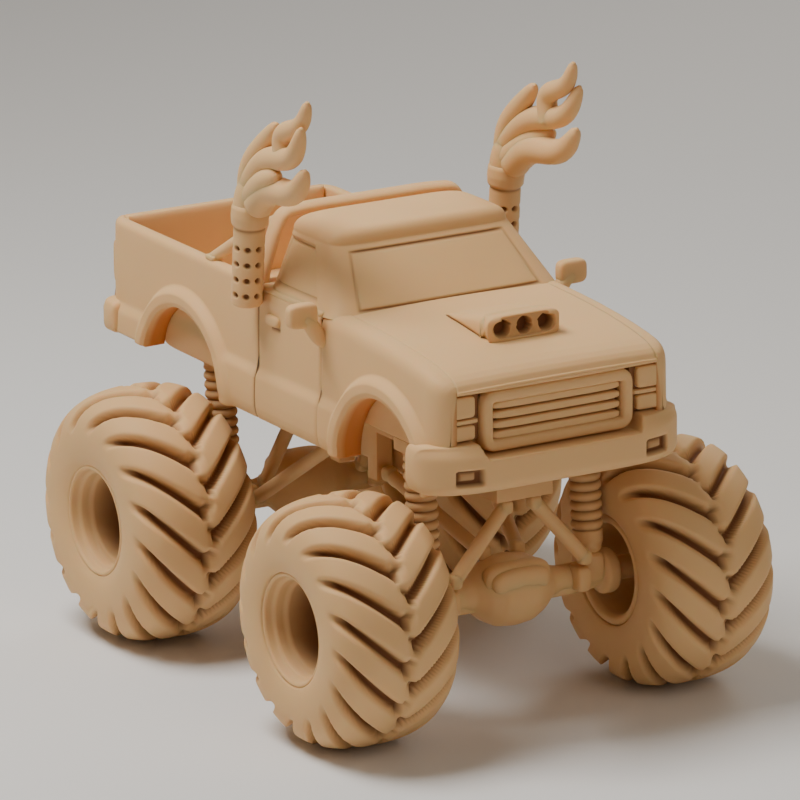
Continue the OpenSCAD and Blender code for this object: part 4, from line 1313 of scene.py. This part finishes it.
class TRUCK_OT_stage(bpy.types.Operator):
    """Adds the floor, the lights and the camera"""
    bl_idname = "truck.stage"
    bl_label = "Add stage"

    def execute(self, context):
        view = context.scene.truck_stage
        m = Maker("stage floor")
        place = m.node("ShaderNodeTexCoord", output=3)
        cloud = m.node("ShaderNodeTexNoise", {}, {"Vector": place, "Scale": 2.0})
        shade = m.blend(cloud, (*view.floor_colour, 1.0), (*[c * 0.98 for c in view.floor_colour], 1.0))
        shader = m.node("ShaderNodeBsdfPrincipled", {}, {"Base Color": shade, "Roughness": 0.9})
        m.node("ShaderNodeOutputMaterial", {}, {"Surface": shader})
        mesh = bpy.data.meshes.new("floor")
        mesh.from_pydata([(-4, -4, 0), (4, -4, 0), (4, 4, 0), (-4, 4, 0)], [], [(0, 1, 2, 3)])
        mesh.materials.append(m.material)
        floor = bpy.data.objects.new("floor", mesh)
        context.scene.collection.objects.link(floor)
        middle = (0.0, 0.0, 0.06)
        a, e = view.azimuth, view.elevation
        lights = [
            add_light("key light", 5.1, 0.32, (-0.1, -0.27, 0.7), middle, (1.0, 0.98, 0.94)),
            add_light("front light", 2.2, 0.8, (1.1, 0.15, 0.75), middle, (1.0, 0.9, 0.76)),
            add_light("back light", 3.0, 0.6, (-0.6, 0.9, 0.8), middle, (1.0, 0.97, 0.92))]
        world = bpy.data.worlds.new("soft room")
        world.use_nodes = True
        world.node_tree.nodes["Background"].inputs["Color"].default_value = (1.0, 0.88, 0.74, 1.0)
        world.node_tree.nodes["Background"].inputs["Strength"].default_value = 0.17
        context.scene.world = world
        back = Vector((np.sin(a) * np.cos(e), -np.cos(a) * np.cos(e), np.sin(e)))
        data = bpy.data.cameras.new("camera")
        data.lens = view.lens
        data.sensor_width = 36.0
        data.clip_start, data.clip_end = 0.1, 20.0
        camera = bpy.data.objects.new("camera", data)
        camera.rotation_mode = "QUATERNION"
        look = (-back).to_track_quat("-Z", "Y").to_matrix()
        turn_roll = np.array([[np.cos(view.roll), -np.sin(view.roll), 0],
                              [np.sin(view.roll), np.cos(view.roll), 0], [0, 0, 1]])
        camera.rotation_quaternion = (look @ type(look)(turn_roll.tolist())).to_quaternion()
        camera.location = Vector(view.aim) + back * view.distance
        context.scene.collection.objects.link(camera)
        context.scene.camera = camera
        return {"FINISHED"}


class TRUCK_PT_panel(bpy.types.Panel):
    """Sizes, colours and buttons of the truck"""
    bl_label = "Monster truck"
    bl_idname = "TRUCK_PT_panel"
    bl_space_type = "VIEW_3D"
    bl_region_type = "UI"
    bl_category = "Truck"

    def draw(self, context):
        for key in GROUPS:
            box = self.layout.box()
            for name in getattr(context.scene, key).bl_rna.properties.keys():
                if name not in ("rna_type", "name"):
                    box.prop(getattr(context.scene, key), name)
        for step in STEPS:
            self.layout.operator(step.bl_idname)


GROUPS = {"truck_look": TruckLook, "truck_stage": TruckStage, "truck_wheels": TruckWheels,
          "truck_body": TruckBody}
STEPS = (TRUCK_OT_wheels, TRUCK_OT_body, TRUCK_OT_ends, TRUCK_OT_fittings, TRUCK_OT_gear,
         TRUCK_OT_stage)


def register():
    """Adds the settings, the operators and the panel to Blender."""
    for item in (*GROUPS.values(), *STEPS, TRUCK_PT_panel):
        bpy.utils.register_class(item)
    for key, group in GROUPS.items():
        setattr(bpy.types.Scene, key, bpy.props.PointerProperty(type=group))


def unregister():
    """Takes them out again."""
    for key in GROUPS:
        delattr(bpy.types.Scene, key)
    for item in reversed((*GROUPS.values(), *STEPS, TRUCK_PT_panel)):
        bpy.utils.unregister_class(item)


def dress_frame():
    """Every CAD node that still shows takes the resin of its slot."""
    slots = {s["node"]: s["material_slot"] for s in frame["record"]["subparts"]}
    for name, obj in frame["nodes"].items():
        obj.data.materials.clear()
        obj.data.materials.append(material_of(slots.get(name, "resin_body")))


def main():
    """Builds the model step by step."""
    register()
    dress_frame()
    for step in STEPS:
        group, name = step.bl_idname.split(".")
        getattr(getattr(bpy.ops, group), name)()


if __name__ == "__main__":
    main()
